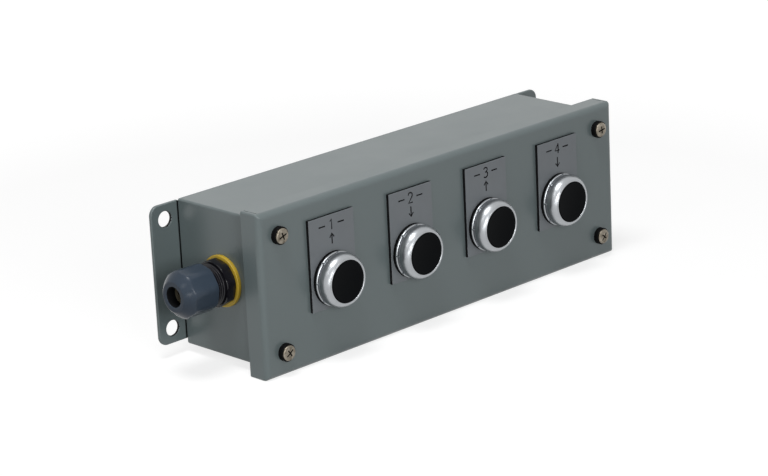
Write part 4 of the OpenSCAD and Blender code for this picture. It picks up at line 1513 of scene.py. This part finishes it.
        return turned("body", outer, self.place(), self.steps, POLYAMIDE_BODY, shape=shape)

    def build_locknut(self) -> bpy.types.Object:
        """Builds the locknut inside the wall, with chamfered corners.

        Returns:
            The locknut.
        """
        low, high = (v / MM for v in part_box("gland_locknut"))
        start, end = self.layout.box_low.x - high.x, self.layout.box_low.x - low.x
        flats = min(high.z - low.z, high.y - low.y)
        corner = flats / 2 / math.cos(math.radians(30))
        bore, ease, ease_l = self.thread_r + self.locknut_gap, self.locknut_ease, self.locknut_ease_l
        side = corner - self.locknut_trim
        profile = [(bore, start), (bore, end), (corner - ease, end), (side, end - ease_l),
                   (side, start + ease_l), (corner - ease, start)]

        def shape(radius: float, level: float, angle: float) -> float:
            """Gives the outside its six flats and leaves the bore round.

            Args:
                radius: Radius in the section.
                level: Level out of the wall; not used.
                angle: Angle round the axis, in radians.
            Returns:
                The radius at that angle.
            """
            if radius <= self.thread_r + 1:
                return radius
            return self.soft_min(self.prism_radius(flats, angle, 6, 0.0), radius, self.locknut_round)

        return turned("gland_locknut_moulded", profile, self.place(), self.steps, POLYAMIDE_BODY, shape=shape)

    def dress(self) -> None:
        """Builds the gland's parts on their bodies."""
        place = self.place()
        threads = ThreadTree("gland_thread", POLYAMIDE_BODY)
        tail = threads.run("tail_thread", place, {
            "Radius": (self.thread_r - self.thread_depth) * MM, "Length": (self.tail - 1) * MM,
            "Pitch": self.ridge * MM, "Crest": self.tail_crest * MM, "Level": (0.5 - self.tail) * MM,
            "Facets": 48})
        seat(joined("gland_body_moulded", [self.build_body(), tail]), "housing", "gland_black", "gland_body")
        t = self.seal_t
        top, foot = self.seal_round, self.seal_foot_round
        ring = [(self.seal_hole_r, 0.0), (self.seal_hole_r, t)]
        ring += arc((self.seal_r - top, t - top), top, 90, 0, 4)
        ring += arc((self.seal_r - foot, foot), foot, 0, -90, 3)
        seat(turned("gland_seal_moulded", ring, place, 96, SEAL_YELLOW), "housing", "seal_yellow",
             "gland_seal_ring")
        seat(self.build_locknut(), "housing", "gland_black", "gland_locknut")
        low, high = (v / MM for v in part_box("gland_insert"))
        a, b = self.layout.box_low.x - high.x, self.layout.box_low.x - low.x
        sleeve = [(self.insert_hole_r, a), (self.insert_hole_r, b - self.insert_mouth_l),
                  (self.insert_mouth_r, b), (self.insert_r - self.insert_edge, b),
                  (self.insert_r, b - self.insert_edge), (self.insert_r, a)]
        seat(turned("gland_insert_moulded", sleeve, place, 72, INSERT_RUBBER), "housing", "insert_rubber",
             "gland_insert")
        seat(self.build_nut(), "gland_nut", "gland_grey", "gland_dome_nut")


# Camera, light and stage


@dataclass(frozen=True)
class Photograph:
    """The camera of the photograph, from the fit of the CAD's corners to it."""

    eye_mm: Point = (-949.08, -1007.16, 424.21)
    turn: tuple[float, float, float, float] = (0.741119, 0.552873, -0.20698, -0.31974)
    sensor_mm: float = 36.0
    focal_px: float = 2817.88
    image_width_px: int = 768

    def build(self) -> None:
        """Creates the camera and makes it the scene's."""
        data = bpy.data.cameras.new("photo_camera")
        data.sensor_fit = "HORIZONTAL"
        data.sensor_width = self.sensor_mm
        data.lens = self.sensor_mm * self.focal_px / self.image_width_px
        data.clip_start = 0.01
        data.clip_end = 100
        data.dof.use_dof = False
        holder = linked("photo_camera", data)
        holder.location = Vector(self.eye_mm) * MM
        holder.rotation_mode = "QUATERNION"
        holder.rotation_quaternion = Quaternion(self.turn)
        bpy.context.scene.camera = holder


@dataclass(frozen=True)
class Softbox:
    """A square studio lamp that looks at a point of the panel."""

    name: str
    place: Point
    size: float
    watts: float
    target: Point = (0.0, -0.03, 0.0)

    def build(self) -> None:
        """Hangs the lamp."""
        data = bpy.data.lights.new(self.name, "AREA")
        data.shape = "SQUARE"
        data.size = self.size
        data.energy = self.watts
        holder = linked(self.name, data)
        holder.location = self.place
        holder.rotation_euler = (Vector(self.target) - Vector(self.place)).to_track_quat("-Z", "Y").to_euler()


@dataclass
class Studio:
    """A floor that shows white, plain soft light, and a white background for camera and gloss."""

    layout: Layout
    ambient: float = 0.11
    floor_albedo: str = "989898"
    floor_glow: float = 0.78
    glow_near: float = 0.3
    glow_far: float = 0.7
    floor_half: float = 6.0
    lamps: tuple[Softbox, ...] = (
        Softbox("overhead_softbox", (-0.45, -0.2, 1.5), 0.5, 13.2),
        Softbox("left_softbox", (-1.3, -0.3, 1.0), 0.3, 1.0),
        Softbox("front_softbox", (-0.5, -1.0, 0.35), 0.4, 4.8),
        Softbox("camera_side_softbox", (-1.2, -1.0, 0.14), 0.3, 1.4),
    )

    def _seen(self, tree: bpy.types.NodeTree) -> Socket:
        """Tells the rays that see the white background from those that light the object.

        Args:
            tree: The tree that gets the nodes.
        Returns:
            1 for camera, glossy and transmission rays, else 0.
        """
        path = add_node(tree, "ShaderNodeLightPath")
        some = add_node(tree, "ShaderNodeMath", {
            0: path.outputs["Is Camera Ray"], 1: path.outputs["Is Glossy Ray"]}, operation="MAXIMUM")
        return add_node(tree, "ShaderNodeMath", {
            0: some.outputs[0], 1: path.outputs["Is Transmission Ray"]}, operation="MAXIMUM").outputs[0]

    def build(self) -> None:
        """Builds the world, the floor and the lamps."""
        world = bpy.data.worlds.new("studio")
        bpy.context.scene.world = world
        tree = empty_tree(world)
        strength = add_node(tree, "ShaderNodeMapRange", {
            "Value": self._seen(tree), "To Min": self.ambient, "To Max": 1.0})
        sky = add_node(tree, "ShaderNodeBackground", {"Color": (1, 1, 1, 1), "Strength": strength.outputs[0]})
        add_node(tree, "ShaderNodeOutputWorld", {"Surface": sky.outputs[0]})

        made = bpy.data.materials.new("studio_floor")
        tree = empty_tree(made)
        matte = add_node(tree, "ShaderNodeBsdfDiffuse", {"Color": linear(self.floor_albedo)})
        spot = add_node(tree, "ShaderNodeTexCoord").outputs["Object"]
        away = add_node(tree, "ShaderNodeVectorMath", {0: spot}, operation="LENGTH")
        white = add_node(tree, "ShaderNodeMapRange", {
            "Value": away.outputs["Value"], "From Min": self.glow_near, "From Max": self.glow_far,
            "To Min": self.floor_glow, "To Max": 1.0})
        level = add_node(tree, "ShaderNodeMath", {0: self._seen(tree), 1: white.outputs[0]},
                         operation="MULTIPLY")
        glow = add_node(tree, "ShaderNodeEmission", {"Color": (1, 1, 1, 1), "Strength": level.outputs[0]})
        both = add_node(tree, "ShaderNodeAddShader", {0: matte.outputs[0], 1: glow.outputs[0]})
        add_node(tree, "ShaderNodeOutputMaterial", {"Surface": both.outputs[0]})
        half, z = self.floor_half, self.layout.cover_low.z * MM
        corners = [(-half, -half, z), (half, -half, z), (half, half, z), (-half, half, z)]
        floor = new_piece("studio_floor", corners, [(0, 1, 2, 3)])
        floor.data.materials.append(made)
        for lamp in self.lamps:
            lamp.build()
        bpy.context.scene.view_settings.view_transform = "Standard"


def main() -> None:
    """Builds the camera, the studio and then the panel."""
    logging.basicConfig(level=logging.INFO, format="%(message)s")
    layout = Layout()
    Photograph().build()
    Studio(layout).build()
    Enclosure(layout).dress()
    Cover(layout).dress()
    CoverScrews(layout).dress()
    ribs = RibTree("spanner_ribs", CHROME)
    for number in range(1, 5):
        LegendPlate(layout, number).dress()
        Pushbutton(layout, number).dress(ribs)
    keep("bezel_washers", RUBBER)
    keep("terminal_strips", BRASS)
    keep("terminal_screws", ZINC_STEEL)
    CableGland(layout).dress()


if __name__ == "__main__":
    main()
